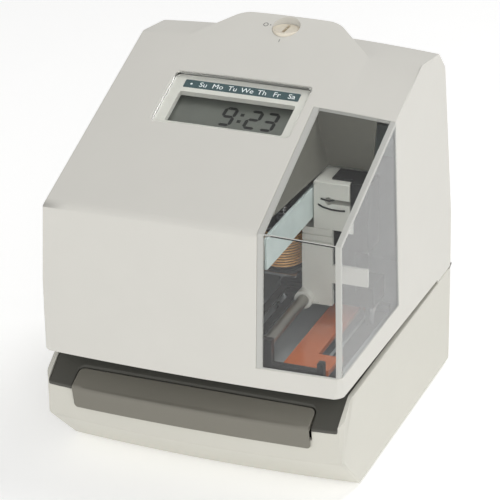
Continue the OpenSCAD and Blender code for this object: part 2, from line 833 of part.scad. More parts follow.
module guide_rod() color("silver") datum()
    bar_y(rod_x, guide_front_d + rod_seat, rod_z, rod_r, frame_d + sheet - 1 - guide_front_d - rod_seat);

module front_bracket() color("black") datum() difference() {
    union() {
        block(rod_x - horn_w / 2, guide_front_d, guide_z, bracket_w, bracket_l, bracket_h);
        block(rod_x - horn_w / 2, guide_front_d, guide_z, horn_w, bracket_l, rod_z - guide_z + rod_r + 2);
        block(rod_x - horn_w / 2 + bracket_w - stub_w, guide_front_d, guide_z, stub_w, bracket_l,
            stub_h);
    }
    bar_y(rod_x, guide_front_d + rod_seat - fit_gap, rod_z, rod_r + pin_play, depth);
}

// Power supply and control board

module transformer_core() color("gray") datum() translate([core_x, core_d, chassis_z]) difference() {
    cube([core_w, core_l, core_h]);
    for (x = [core_leg, core_w - core_leg - core_slot])
        block(x, -1, core_leg, core_slot, core_l + 2, core_h - 2 * core_leg);
}

module transformer_coil() color("tan") datum() translate([core_x, core_d, chassis_z]) difference() {
    block(core_leg + fit_gap, -coil_end, core_leg + fit_gap, core_w - 2 * core_leg - 2 * fit_gap,
        core_l + 2 * coil_end, core_h - 2 * core_leg - 2 * fit_gap);
    block(core_leg + core_slot - fit_gap, -fit_gap, 0, core_mid + 2 * fit_gap, core_l + 2 * fit_gap, core_h);
}

// Outline of the inlet from behind: two round ends about the pins
module inlet_outline(r) translate([inlet_x, inlet_z]) {
    for (side = [-1, 1]) translate([side * inlet_pin_gap / 2, 0]) circle(r);
    square([inlet_pin_gap, 2 * r], center = true);
}

module power_inlet() color("black") datum() {
    difference() {
        union() {
            along(inlet_start_d, inlet_face_d - inlet_start_d) inlet_outline(inlet_r);
            along(inlet_start_d, inlet_seat_d - inlet_start_d) inlet_outline(inlet_flange_r);
        }
        along(inlet_face_d - inlet_deep, 2 * inlet_deep) inlet_outline(inlet_bore_r);
    }
    for (side = [-1, 1])
        bar_y(inlet_x + side * inlet_pin_gap / 2, inlet_face_d - inlet_deep - 1, inlet_z, inlet_pin_r,
            inlet_deep);
}

module main_board() color("darkgreen") datum() difference() {
    block(main_board_x, main_board_d, main_board_z, main_board_w, main_board_l, board_t);
    for (p = stand_places) translate([p[0], p[1], 0]) cylinder(r = stand_pin_r + pin_play, h = depth);
}

module board_standoffs() color("gold") datum()
    for (p = stand_places) translate([p[0], p[1], guide_z]) {
        cylinder(r = stand_r, h = main_board_z - guide_z);
        cylinder(r = stand_pin_r, h = main_board_z - guide_z + board_t + 1.5);
    }

module board_parts() color("black") datum()
    translate([main_board_x, main_board_d, main_board_z + board_t]) {
        for (i = [0 : 2])
            translate([capacitor_x, capacitor_d + capacitor_step * i, 0])
                cylinder(r = capacitor_r, h = capacitor_h);
        for (b = board_blocks) block(b[0], b[1], 0, b[2], b[3], b[4]);
    }

module backup_battery() color("steelblue") datum()
    bar_y(main_board_x + battery_x, main_board_d + battery_d, main_board_z + board_t + battery_r, battery_r,
        battery_l);

// Display on the chassis

module display_shelf() color("lightsteelblue") datum() on_slope()
    block(left_plate_x, shelf_front_s, shelf_low, shelf_right_x - left_plate_x, shelf_back_s - shelf_front_s,
        sheet);

module display_board() color("darkgreen") datum() on_slope() translate([view_x, view_s, board_low]) {
    block(-display_board_w / 2, -display_board_l / 2, 0, display_board_w, display_board_l, board_t);
    for (i = [-1, 1], j = [-1, 1])
        translate([i * (display_board_w / 2 - 4), j * (display_board_l / 2 - 4), -stand_h])
            cylinder(r = 2, h = stand_h);
}

module lcd_panel() color("darkgray") datum() on_slope()
    block(view_x - lcd_w / 2, view_s - lcd_l / 2, -lcd_drop - lcd_t, lcd_w, lcd_l, lcd_t);

// Clamp magnet, which holds the paper while it is printed

module magnet_yoke() color("silver") datum() difference() {
    union() {
        block(yoke_x, magnet_d - yoke_half, yoke_low_z, sheet, 2 * yoke_half, yoke_top_z - yoke_low_z);
        for (z = [yoke_low_z, yoke_top_z - sheet])
            block(yoke_x, magnet_d - yoke_half, z, magnet_x + flange_r - yoke_x, 2 * yoke_half, sheet);
    }
    translate([magnet_x, magnet_d, 0]) cylinder(r = plunger_r + pin_play, h = depth);
}

module magnet_bobbin() color("black") datum() translate([magnet_x, magnet_d, bobbin_z]) difference() {
    union() {
        cylinder(r = core_r / 2, h = bobbin_h);
        for (z = [0, bobbin_h - flange_t]) translate([0, 0, z]) cylinder(r = flange_r, h = flange_t);
    }
    translate([0, 0, -1]) cylinder(r = plunger_r + pin_play, h = bobbin_h + 2);
}

// Tube with round ends of 6 sides swept along points, triangles only
TUBE_SIDES = 6;
function tangent(pts, i) =
    let (a = pts[max(i - 1, 0)], b = pts[min(i + 1, len(pts) - 1)]) (b - a) / norm(b - a);
function ring(pts, i, r) =
    let (t = tangent(pts, i), radial = [pts[i][0], pts[i][1], 0] / norm([pts[i][0], pts[i][1]]),
        n = (radial - t * (radial * t)) / norm(radial - t * (radial * t)), b = cross(t, n))
    [for (k = [0 : TUBE_SIDES - 1]) pts[i] + r * (cos(60 * k) * n + sin(60 * k) * b)];
module tube(pts, r) {
    rings = [for (i = [0 : len(pts) - 1]) each ring(pts, i, r)];
    last = len(pts) - 1;
    sides = [for (i = [0 : last - 1], k = [0 : TUBE_SIDES - 1])
        let (a = i * TUBE_SIDES + k, b = i * TUBE_SIDES + (k + 1) % TUBE_SIDES)
        each [[a, a + TUBE_SIDES, b], [b, a + TUBE_SIDES, b + TUBE_SIDES]]];
    start = [for (k = [1 : TUBE_SIDES - 2]) [0, k, k + 1]];
    end = [for (k = [1 : TUBE_SIDES - 2]) [for (v = [0, k + 1, k]) last * TUBE_SIDES + v]];
    polyhedron(rings, concat(sides, start, end));
}

// Points of a coil about the Z axis: straight up, round a bend, up the helix, round a bend and straight up
function unrolled(r, pitch, turns, lead, bend, steps) =
    let (rise = atan2(pitch, 360 * r * PI / 180), sweep = 90 - rise,
        run = 2 * PI * r * turns / cos(rise))
    concat([[0, 0], [0, lead]],
        [for (k = [1 : 4]) [0, lead] + bend * [1 - cos(sweep * k / 4), sin(sweep * k / 4)]],
        [for (k = [1 : steps]) [0, lead] + bend * [1 - cos(sweep), sin(sweep)]
            + run * k / steps * [cos(rise), sin(rise)]],
        [for (k = [1 : 4]) [0, lead] + 2 * bend * [1 - cos(sweep), sin(sweep)] + run * [cos(rise), sin(rise)]
            - bend * [1 - cos(sweep * (4 - k) / 4), sin(sweep * (4 - k) / 4)]],
        [[0, 2 * lead] + 2 * bend * [1 - cos(sweep), sin(sweep)] + run * [cos(rise), sin(rise)]]);
function coil(r, pitch, turns, lead, bend, per_turn) =
    [for (p = unrolled(r, pitch, turns, lead, bend, ceil(turns * per_turn)))
        let (a = p[0] / r * 180 / PI) [r * cos(a), r * sin(a), p[1]]];
function coil_height(r, pitch, turns, lead, bend) =
    let (rise = atan2(pitch, 2 * PI * r)) 2 * lead + 2 * bend * sin(90 - rise) + pitch * turns;
function self_gap(pts, d, skip) =
    min([for (i = [0 : len(pts) - 1 - skip]) min([for (j = [i + skip : len(pts) - 1])
        norm(pts[i] - pts[j])])]) - d;

wire_points = coil(winding_r, wire_pitch, wire_turns, wire_d, wire_bend, 24);
echo(least_gap_winding = self_gap(wire_points, wire_d, 14));

// Outer layer of the copper winding as one wire, over the layers below it
module magnet_winding() color("peru") datum() translate([magnet_x, magnet_d, bobbin_z + flange_t]) {
    rotate([0, 0, -120]) tube(wire_points, wire_d / 2);
    difference() {
        translate([0, 0, fit_gap]) cylinder(r = core_r, h = winding_h - 2 * fit_gap);
        translate([0, 0, -1]) cylinder(r = core_r / 2 + fit_gap, h = winding_h + 2);
    }
}

// Compression spring between two flat seats
spring_wire = 0.8;
spring_bend = 0.7;
function spring_points(r, turns, h) =
    coil(r, (h - 2 * spring_wire - 2 * spring_bend) / turns, turns, spring_wire, spring_bend, 8);
module spring(r, turns, h) { tube(spring_points(r, turns, h), spring_wire / 2); }

plunger_spring_r = 3.8;
plunger_spring_turns = 5;
plunger_spring_h = cap_z - yoke_top_z - 2 * fit_gap;
echo(least_gap_plunger_spring =
    self_gap(spring_points(plunger_spring_r, plunger_spring_turns, plunger_spring_h), spring_wire, 6));

module plunger_spring() color("silver") datum() translate([magnet_x, magnet_d, yoke_top_z + fit_gap])
    spring(plunger_spring_r, plunger_spring_turns, plunger_spring_h);

module plunger() color("silver") datum() translate([magnet_x, magnet_d, 0]) {
    translate([0, 0, pad_low_z + pad_h]) cylinder(r = plunger_r, h = cap_z + cap_h - pad_low_z - pad_h);
    translate([0, 0, cap_z]) cylinder(r = plunger_spring_r + cap_rim, h = cap_h);
}

module clamp_pad() color("dimgray") datum()
    translate([magnet_x, magnet_d, pad_low_z]) cylinder(r = pad_r, h = pad_h);

// Carriage drive

module drive_motor() color("gray") datum() difference() {
    union() {
        bar_x(motor_x, motor_d, pulley_z, motor_r, bracket_x - sheet - motor_x);
        bar_x(motor_x, motor_d, pulley_z, collar_r, bracket_x - motor_x);
    }
    bar_x(motor_x + 4, motor_d, pulley_z, shaft_r + pin_play, depth);
}

module belt_brackets() color("lightsteelblue") datum() {
    difference() {
        union() {
            block(bracket_x - sheet, motor_d - motor_r, guide_z, sheet, 2 * motor_r,
                pulley_z + motor_r - guide_z);
            block(motor_x, motor_d + motor_r, guide_z, bracket_x - motor_x, stud_half_l, sheet);
            block(bracket_x - sheet, motor_d + motor_r - 1, guide_z, sheet, stud_half_l, stud_half_l);
        }
        bar_x(motor_x, motor_d, pulley_z, collar_r + pin_play, depth);
    }
    block(bracket_x - sheet, idler_d - stud_half_l, guide_z, sheet, 2 * stud_half_l,
        pulley_z + stud_half_l - guide_z);
    block(bracket_x - 10, idler_d - stud_half_l, guide_z, 10, 2 * stud_half_l, sheet);
    bar_x(bracket_x - sheet / 2, idler_d, pulley_z, shaft_r, belt_w + 5.5);
}

// Pulley with a rim on each side of the belt
module pulley(d) {
    bar_x(belt_x - belt_w / 2 - run_gap, d, pulley_z, pulley_r, belt_w + 2 * run_gap);
    for (x = [belt_x - belt_w / 2 - run_gap - rim_t, belt_x + belt_w / 2 + run_gap])
        bar_x(x, d, pulley_z, rim_r, rim_t);
}

module motor_pulley() color("white") datum() {
    hub_x = belt_x + belt_w / 2 + run_gap;
    pulley(motor_d);
    bar_x(motor_x + 5, motor_d, pulley_z, shaft_r, belt_x + belt_w / 2 - motor_x - 5);
    difference() {
        bar_x(hub_x, motor_d, pulley_z, hub_r, hub_l);
        bar_x(hub_x + hub_l - 0.6, motor_d, pulley_z, shaft_r, hub_l);
    }
}

module idler_pulley() color("white") datum() difference() {
    pulley(idler_d);
    bar_x(bracket_x, idler_d, pulley_z, shaft_r + pin_play, depth);
}

module belt_outline(r) {
    translate([idler_d, pulley_z - r]) square([motor_d - idler_d, 2 * r]);
    for (d = [idler_d, motor_d]) translate([d, pulley_z]) circle(r);
}

module drive_belt() color("black") datum() across(belt_w, belt_x) difference() {
    belt_outline(belt_in_r + belt_t);
    belt_outline(belt_in_r);
}

// Carriage

module print_column() color("white") datum() difference() {
    union() {
        block(column_x, carriage_d, column_low_z, column_w, carriage_l, column_z - column_low_z);
        bar_y(rod_x, carriage_d - boss_l, rod_z, boss_r, boss_l + carriage_l);
        block(column_x, carriage_d, column_low_z + shield_up, column_w + shield_w, shield_t, shield_h);
        for (z = [belt_top_z + run_gap, belt_top_z - belt_t - run_gap - jaw_h])
            block(belt_x - belt_w / 2, jaw_d, z, rod_x - belt_x, jaw_l, jaw_h);
    }
    bar_y(rod_x, 0, rod_z, rod_r + pin_play, depth);
    for (z = [column_z - 4, column_z - 8]) block(0, carriage_d - 1, z, head_x - 0.01, 1.6, 1);
}

module upper_block() color("white") datum() difference() {
    slot_x = block_x + 8;
    slot_z = column_z + 15.5;
    slot_deep = 6;
    block(block_x, carriage_d, column_z, block_w, carriage_l, block_z - column_z);
    bar_y(slot_x, carriage_d - 1, slot_z, 2, slot_deep + 1);
    block(slot_x, carriage_d - 1, slot_z - 1.2, depth, slot_deep + 1, 2.4);
}

module print_head() color("black") datum() {
    block(head_x, carriage_d + shield_t, column_low_z + 8, head_w, carriage_l - shield_t,
        column_z - column_low_z - 8);
    block(head_x, carriage_d + 3, column_low_z, head_foot_w, carriage_l - 4, head_foot_h);
    block(hood_x, carriage_d + 1, hood_low_z, hood_w, hood_l, block_z + fit_gap + cap_t - hood_low_z);
    block(hood_x - cap_w, carriage_d + 1 + cap_in, block_z + fit_gap, cap_w + hood_w, hood_l - cap_in, cap_t);
}

module needle_nose() color("silver") datum() translate([nose_x, nose_d, 0]) {
    root_z = nose_low_z + nose_tip_h;
    translate([0, 0, root_z]) cylinder(r1 = nose_r, r2 = nose_root_r, h = column_low_z - root_z);
    translate([0, 0, nose_low_z]) cylinder(r = nose_r, h = nose_tip_h);
}

// Ribbon cassette

module ribbon_cassette() color("dimgray") datum() difference() {
    union() {
        block(cassette_x, cassette_d, guide_z, cassette_w, cassette_l, cassette_h - lid_h);
        block(cassette_x, cassette_d, guide_z, end_w, box_l, cassette_h - lid_h);
        block(cassette_x, cassette_d + cassette_l - arm_l, guide_z, end_w, arm_l, cassette_h - lid_h - 1);
    }
    translate([knob_x, knob_d, guide_z + knob_floor]) cylinder(r = knob_stem_r + pin_play, h = cassette_h);
}

module cassette_lid() color("orangered") datum() difference() {
    union() {
        block(cassette_x, cassette_d, guide_z + cassette_h - lid_h, cassette_w, cassette_l, lid_h);
        block(cassette_x, cassette_d, guide_z + cassette_h - lid_h, end_w, box_l, lid_h);
    }
    translate([knob_x, knob_d, guide_z]) cylinder(r = knob_stem_r + pin_play, h = 2 * cassette_h);
}

module ink_ribbon() color("black") datum()
    block(nose_x - ribbon_w / 2, cassette_d + box_l, guide_z + run_gap, ribbon_w,
        cassette_l - box_l - arm_l, ribbon_t);

module ribbon_knob() color("whitesmoke") datum() translate([knob_x, knob_d, guide_z + run_gap]) {
    translate([0, 0, knob_floor]) cylinder(r = knob_stem_r, h = cassette_h);
    translate([0, 0, cassette_h]) difference() {
        cylinder(r = knob_r, h = knob_h);
        for (turn = [0 : 30 : 330])
            rotate([0, 0, turn]) translate([knob_r + 0.2, 0, -1]) cylinder(r = 0.6, h = knob_h + 2);
        block(1.5 - knob_r, -0.6, knob_h - 1, 2 * knob_r - 3, 1.2, 2);
    }
}

// Print bar

module bar_front(inset) { behind_face(base_bevel, base_lip, base_bow, inset); }

module print_bar() color("gray") datum() {
    difference() {
        intersection() {
            bar_front(-bar_proud);
            across(bar_w)
                polygon([[-foot_d, bar_low_z], [foot_d, bar_low_z], [foot_d, ridge_z], [-foot_d, ridge_z]]);
        }
        bar_front(-run_gap);
    }
    intersection() {
        bar_front(-bar_proud);
        across(bar_w)
            polygon([[-foot_d, ridge_z - bar_skin], [0, ridge_z - bar_skin],
                [bar_back_d, bar_back_z - bar_skin], [bar_back_d, bar_back_z], [-base_bow, ridge_z],
                [-foot_d, ridge_z]]);
    }
    for (x = [-arm_x, arm_x]) bar_arm(x);
    block(arm_x - flag_t / 2, flag_d, pivot_z - flag_h / 2, flag_t, flag_l, flag_h);
}

module bar_arm(x) {
    difference() {
        union() {
            across(arm_t, x)
                polygon([[-0.4, arm_root_z], [8, arm_root_z], [arm_front_d, arm_z], [pivot_d, arm_z],
                    [pivot_d, pivot_z + hub_arm_r], [arm_front_d, bar_back_z - 3.4],
                    [bar_back_d - 1, bar_back_z - 2], [0.4, lip_z - 1.4]]);
            bar_x(x - arm_t / 2, pivot_d, pivot_z, hub_arm_r, arm_t);
        }
        bar_x(x - arm_t, pivot_d, pivot_z, pivot_r + pin_play, 2 * arm_t);
    }
}

module bar_pins() color("silver") datum()
    for (x = [-arm_x, arm_x]) bar_x(x - pin_l / 2, pivot_d, pivot_z, pivot_r, pin_l);

echo(least_gap_bar_spring =
    self_gap(spring_points(bar_spring_r, bar_spring_turns, bar_spring_h), spring_wire, 6));

module bar_springs() color("silver") datum()
    for (x = [-arm_x, arm_x]) translate([x, spring_d, post_z + fit_gap])
        spring(bar_spring_r, bar_spring_turns, bar_spring_h);

// Fork sensor round the bar's flag
module bar_sensor() color("black") datum() difference() {
    block(arm_x - fork_w / 2, flag_d + 4, chassis_z, fork_w, fork_l, fork_z - chassis_z);
    block(arm_x - fork_gap / 2, flag_d + 3, pivot_z - 6, fork_gap, fork_l + 2, depth);
}

// Cover

module lock_hole() translate([0, lock_d, 0]) {
    translate([0, 0, step_z]) cylinder(r = lock_head_r + fit_gap, h = depth);
    translate([0, 0, boss_z - 1]) cylinder(r = lock_body_r + fit_gap, h = depth);
}

module cover_shell() color("gainsboro") datum() difference() {
    union() {
        difference() {
            cover_form();
            cover_form(wall);
            under_cover();
        }
        intersection() {
            translate([0, lock_d, boss_z]) cylinder(r = lock_head_r + 4, h = depth);
            cover_form(wall / 2);
        }
        intersection() {
            for (side = [-1, 1], d = [guide_front_d + 12, frame_d - 30])
                block(side * (guide_half_w - rib_lap + rib_w / 2) - rib_w / 2, d, guide_z + run_gap, rib_w,
                    rib_l, rib_t);
            cover_form(wall / 2);
        }
    }
    window_corner();
    bezel_column(0);
    lock_hole();
}

module corner_window() color("lightcyan", 0.4) datum() intersection() {
    difference() {
        cover_form();
        cover_form(wall);
    }
    window_corner(fit_gap);
}

module window_lining() color("gray") datum() intersection() {
    cover_form(wall + fit_gap);
    block(0, 0, lining_z, body_w, window_d + lining_t, sky_z);
    union() {
        translate([lining_foot_x, window_d, lining_z]) rotate([0, -lining_lean, -lining_turn])
            block(-lining_t, -depth, -depth, lining_t, 2 * depth, 2 * depth);
        along(window_d, lining_t)
            polygon([[lining_foot_x - lining_t / 2, lining_z], [lining_end_x, lining_z],
                [lining_end_x + 5, lining_z + depth / 3],
                [lining_foot_x - lining_t / 2 - depth / 3 * tan(lining_lean), lining_z + depth / 3]]);
    }
}

module display_frame() color("silver") datum() difference() {
    intersection() {
        slope_layer(frame_top - bezel_t, frame_top);
        bezel_column(fit_gap);
    }
    view_column(0);
    intersection() {
        slope_layer(frame_top - strip_t, frame_top + 1);
        strip_column(0);
    }
}

// Clear lens, flush with the crowned cover
module display_lens() color("white", 0.3) datum() intersection() {
    difference() {
        cover_form(bezel_sink);
        cover_form(bezel_sink + lens_t);
    }
    bezel_column(fit_gap);
}

module day_strip() color("darkslategray") datum() intersection() {
    slope_layer(frame_top - strip_t, frame_top - lens_gap);
    strip_column(fit_gap);
}

// Lock

module lock_barrel() color("silver") datum() translate([0, lock_d, 0]) difference() {
    union() {
        translate([0, 0, step_z]) cylinder(r = lock_head_r, h = lock_face_z - step_z);
        translate([0, 0, lock_face_z - lock_l]) cylinder(r = lock_body_r, h = lock_l);
    }
    cylinder(r = plug_r + pin_play, h = depth + lock_face_z);
    translate([0, 0, lock_face_z - plug_head_t - plug_seat]) cylinder(r = plug_head_r + pin_play, h = depth);
}

module lock_nut() color("silver") datum() translate([0, lock_d, boss_z - nut_h]) difference() {
    cylinder(r = lock_body_r + nut_rim, h = nut_h, $fn = 6);
    translate([0, 0, -1]) cylinder(r = lock_body_r + pin_play, h = nut_h + 2);
}

module lock_plug() color("silver") datum() translate([0, lock_d, 0]) difference() {
    union() {
        translate([0, 0, cam_top_z]) cylinder(r = plug_r, h = lock_face_z - cam_top_z);
        translate([0, 0, lock_face_z - plug_head_t]) cylinder(r = plug_head_r, h = plug_head_t);
    }
    block(-keyway_w / 2, keyway_rim - plug_head_r, lock_face_z - keyway_deep, keyway_w,
        2 * (plug_head_r - keyway_rim), 2 * keyway_deep);
}

module lock_cam() color("silver") datum() translate([0, lock_d, cam_top_z - cam_t]) {
    cylinder(r = cam_w / 2 + 1, h = cam_t);
    translate([-cam_w / 2, -cam_l + cam_w / 2, 0]) cube([cam_w, cam_l - cam_w / 2, cam_t]);
    translate([0, -cam_l + cam_w / 2, 0]) cylinder(r = cam_w / 2, h = cam_t);
}

module lock_catch() color("lightsteelblue") datum() {
    block(catch_x, lock_d - cam_w, catch_low_z, catch_w, frame_d - lock_d + cam_w, sheet);
    block(catch_x, frame_d - sheet, frame_top_z - catch_h, catch_w, sheet, catch_h);
}

base_housing();
rubber_feet();
base_screws();
chassis_base();
throat_plate();
card_sensor();
platen();
platen_support();
rear_frame();
upper_guide();
left_plate();
middle_plate();
frame_screws();
guide_rail();
guide_rod();
front_bracket();
transformer_core();
transformer_coil();
power_inlet();
main_board();
board_standoffs();
board_parts();
backup_battery();
display_shelf();
display_board();
lcd_panel();
lock_catch();
magnet_yoke();
magnet_bobbin();
magnet_winding();
plunger_spring();
plunger();
clamp_pad();
drive_motor();
belt_brackets();
motor_pulley();
drive_belt();
idler_pulley();
print_column();
upper_block();
print_head();
needle_nose();
ribbon_cassette();
cassette_lid();
ink_ribbon();
ribbon_knob();
print_bar();
bar_pins();
bar_springs();
bar_sensor();
cover_shell();
corner_window();
window_lining();
display_frame();
display_lens();
day_strip();
lock_barrel();
lock_nut();
lock_plug();
lock_cam();
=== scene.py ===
"""Looks of an electronic time clock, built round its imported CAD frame.

Every size is in metres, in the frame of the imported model: +Z is up and the front faces -Y.
"""

import json
import logging
import math
from dataclasses import dataclass
from enum import Enum
from functools import lru_cache
from typing import Callable, Iterable

import bmesh
import bpy
from bmesh.types import BMEdge, BMesh, BMFace, BMVert
from bpy.types import Material, Node, NodeSocket, Object
from mathutils import Matrix, Vector
from mathutils.bvhtree import BVHTree


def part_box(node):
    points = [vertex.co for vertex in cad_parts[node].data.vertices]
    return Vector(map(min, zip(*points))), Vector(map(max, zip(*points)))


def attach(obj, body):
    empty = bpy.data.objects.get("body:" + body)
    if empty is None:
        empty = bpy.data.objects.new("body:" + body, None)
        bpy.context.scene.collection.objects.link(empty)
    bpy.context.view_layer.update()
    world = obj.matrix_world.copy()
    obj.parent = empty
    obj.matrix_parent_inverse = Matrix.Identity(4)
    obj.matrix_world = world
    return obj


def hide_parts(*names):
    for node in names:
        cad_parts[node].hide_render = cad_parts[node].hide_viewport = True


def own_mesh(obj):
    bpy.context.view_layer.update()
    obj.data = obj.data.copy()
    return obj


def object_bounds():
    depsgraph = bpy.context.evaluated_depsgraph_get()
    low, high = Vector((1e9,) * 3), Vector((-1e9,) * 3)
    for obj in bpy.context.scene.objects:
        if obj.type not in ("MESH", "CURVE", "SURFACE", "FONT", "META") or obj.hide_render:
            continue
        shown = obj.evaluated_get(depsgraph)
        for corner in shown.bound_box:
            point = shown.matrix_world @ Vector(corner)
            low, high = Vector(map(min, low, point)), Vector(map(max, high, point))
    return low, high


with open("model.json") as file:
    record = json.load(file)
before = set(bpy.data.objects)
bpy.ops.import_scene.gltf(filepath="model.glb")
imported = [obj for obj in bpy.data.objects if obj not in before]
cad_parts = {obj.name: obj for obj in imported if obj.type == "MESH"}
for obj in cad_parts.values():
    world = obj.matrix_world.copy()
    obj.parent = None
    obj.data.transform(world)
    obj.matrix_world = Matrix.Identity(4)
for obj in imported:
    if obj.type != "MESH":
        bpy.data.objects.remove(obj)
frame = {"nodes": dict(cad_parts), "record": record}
CAD_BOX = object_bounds()

LOG = logging.getLogger("time_clock")
MM = 0.001
# Points this close are joined, or count as lying together
MERGE, TOUCH = 1e-6, 1e-5
# Bends between faces that count as none, get weighed, are softened, and stay sharp
FLAT_ANGLE, ROUND_ANGLE = math.radians(0.1), math.radians(18)
SOFTEN_ANGLE, SHARP_ANGLE = math.radians(35), math.radians(38)
# Shares of a face's normal along an axis: nearly all of it, half of it, a little
FACING, LEANING, ASIDE = 0.9, 0.5, 0.3
# Widest rounding as a share of a narrow face beside it
NARROW = 0.4
# Rise of a spring's closed turn, in wires
END_TURN = 1.03
# Width of the wave texture's lines at scale 1
WAVE_PERIOD = math.pi / 10
X_AXIS, Y_AXIS, Z_AXIS = Vector((1, 0, 0)), Vector((0, 1, 0)), Vector((0, 0, 1))

Colour = tuple[float, float, float]


def srgb(red: int, green: int, blue: int) -> Colour:
    """Turns display values from 0 to 255 into a linear colour.

    Args:
        red, green, blue: display values.

    Returns:
        The linear colour.
    """

    def linear(value: int) -> float:
        """Undoes the display curve of one channel."""
        share = value / 255
        return share / 12.92 if share <= 0.04045 else ((share + 0.055) / 1.055) ** 2.4

    return linear(red), linear(green), linear(blue)


class Slot(Enum):
    """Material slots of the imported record."""

    BASE = "base_plastic"
    COVER = "cover_plastic"
    CLEAR = "clear_plastic"
    LINING = "lining_plastic"
    FRAME = "frame_plastic"
    STRIP = "strip_print"
    THROAT = "throat_plastic"
    BAR = "bar_plastic"
    FOOT = "foot_rubber"
    PLATEN = "platen_rubber"
    BLACK = "black_plastic"
    BELT = "belt_rubber"
    RIBBON = "ribbon_fabric"
    CASSETTE = "cassette_plastic"
    LID = "lid_plastic"
    WHITE = "white_plastic"
    ZINC = "zinc_sheet"
    RAIL = "rail_paint"
    STEEL = "bright_steel"
    CORE = "core_steel"
    WRAP = "coil_wrap"
    COPPER = "copper_wire"
    BOARD = "board_laminate"
    BRASS = "brass_standoff"
    BATTERY = "battery_wrap"
    LCD = "lcd_glass"
    NICKEL = "lock_nickel"


class Body(Enum):
    """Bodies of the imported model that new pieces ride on."""

    CHASSIS = "chassis"
    CARRIAGE = "carriage"
    PRINT_BAR = "print_bar"
    COVER = "cover"


class Graph:
    """A material's node tree round one Principled surface."""

    def __init__(self, name: str) -> None:
        """Starts the material.

        Args:
            name: name of the material.
        """
        self.material = bpy.data.materials.new(name)
        self.material.use_nodes = True
        self.nodes = self.material.node_tree.nodes
        self.surface = self.nodes["Principled BSDF"]
        self.place = self.nodes.new("ShaderNodeTexCoord").outputs["Object"]

    def link(self, source: NodeSocket, sink: NodeSocket) -> None:
        """Joins two sockets."""
        self.material.node_tree.links.new(source, sink)

    def put(self, node: Node | None = None, **values: float | tuple) -> None:
        """Sets sockets of a node, or else of the surface, with spaces in their names as underscores.

        Args:
            node: the node, or none for the surface.
            values: values of its sockets.
        """
        inputs = (self.surface if node is None else node).inputs
        for name, value in values.items():
            inputs[name.replace("_", " ")].default_value = value

    def add(self, kind: str, **values: float | tuple) -> Node:
        """Adds a node.

        Args:
            kind: its type, without the start that all have.
            values: values of its sockets.

        Returns:
            The node.
        """
        node = self.nodes.new(f"ShaderNode{kind}")
        self.put(node, **values)
        return node

    def noise(self, size: float, detail: float = 2.0, stretch: Colour = (1, 1, 1)) -> NodeSocket:
        """Adds a noise pattern.

        Args:
            size: size of its patches.
            detail: finer layers in it.
            stretch: scale of the pattern along each axis.

        Returns:
            The socket with its value.
        """
        texture = self.add("TexNoise", Scale=1 / size, Detail=detail)
        mapping = self.add("Mapping", Scale=stretch)
        self.link(self.place, mapping.inputs["Vector"])
        self.link(mapping.outputs["Vector"], texture.inputs["Vector"])
        return texture.outputs["Fac"]

    def lines(self, pitch: float, direction: str, waver: float = 0.0) -> NodeSocket:
        """Adds parallel lines.

        Args:
            pitch: distance from line to line.
            direction: axis that the lines follow each other along.
            waver: how far the lines wander.

        Returns:
            The socket with their value.
        """
        texture = self.add("TexWave", Scale=WAVE_PERIOD / pitch, Distortion=waver)
        texture.bands_direction = direction
        self.link(self.place, texture.inputs["Vector"])
        return texture.outputs["Fac"]

    def tint(self, colour: Colour, spread: float, share: NodeSocket) -> None:
        """Varies the base colour round one colour.

        Args:
            colour: the middle colour.
            spread: share by which it gets darker and lighter.
            share: pattern that says where.
        """
        mix = self.add("Mix")
        mix.data_type = "RGBA"
        dark, light = (s for s in mix.inputs if s.type == "RGBA")
        dark.default_value = (*(c * (1 - spread) for c in colour), 1)
        light.default_value = (*(min(c * (1 + spread), 1) for c in colour), 1)
        self.link(share, mix.inputs["Factor"])
        self.link(next(s for s in mix.outputs if s.type == "RGBA"), self.surface.inputs["Base Color"])

    def gloss(self, low: float, high: float, share: NodeSocket) -> None:
        """Varies the roughness between two values.

        Args:
            low, high: the values.
            share: pattern that says where.
        """
        span = self.add("MapRange", To_Min=low, To_Max=high)
        self.link(share, span.inputs["Value"])
        self.link(span.outputs["Result"], self.surface.inputs["Roughness"])

    def relief(self, height: NodeSocket, depth: float) -> None:
        """Raises the surface by a pattern.

        Args:
            height: the pattern.
            depth: its full height.
        """
        bump = self.add("Bump", Distance=depth)
        self.link(height, bump.inputs["Height"])
        self.link(bump.outputs["Normal"], self.surface.inputs["Normal"])


@dataclass(frozen=True)
class Finish:
    """A named surface, which each kind of finish paints in its own way."""

    name: str
    colour: Colour

    def paint(self, graph: Graph) -> None:
        """Lays the finish on a surface; every kind has its own."""
        raise NotImplementedError

    def material(self) -> Material:
        """Builds the material.

        Returns:
            The material, with the finish on it.
        """
        graph = Graph(self.name)
        self.paint(graph)
        return graph.material


@dataclass(frozen=True)
class MouldedPlastic(Finish):
    """Moulded plastic with a fine grain and slight clouds."""

    roughness: float = 0.5
    grain: float = 0.5 * MM
    depth: float = 0.012 * MM
    clouds: float = 0.02
    coat: float = 0.0

    def paint(self, graph: Graph) -> None:
        """Lays the finish on.

        Args:
            graph: the material's nodes.
        """
        graph.tint(self.colour, self.clouds, graph.noise(22 * MM, 4))
        graph.gloss(self.roughness - 0.05, self.roughness + 0.05, graph.noise(3 * MM, 3))
        graph.relief(graph.noise(self.grain, 2), self.depth)
        graph.put(Coat_Weight=self.coat, Coat_Roughness=0.08, Specular_IOR_Level=0.4)


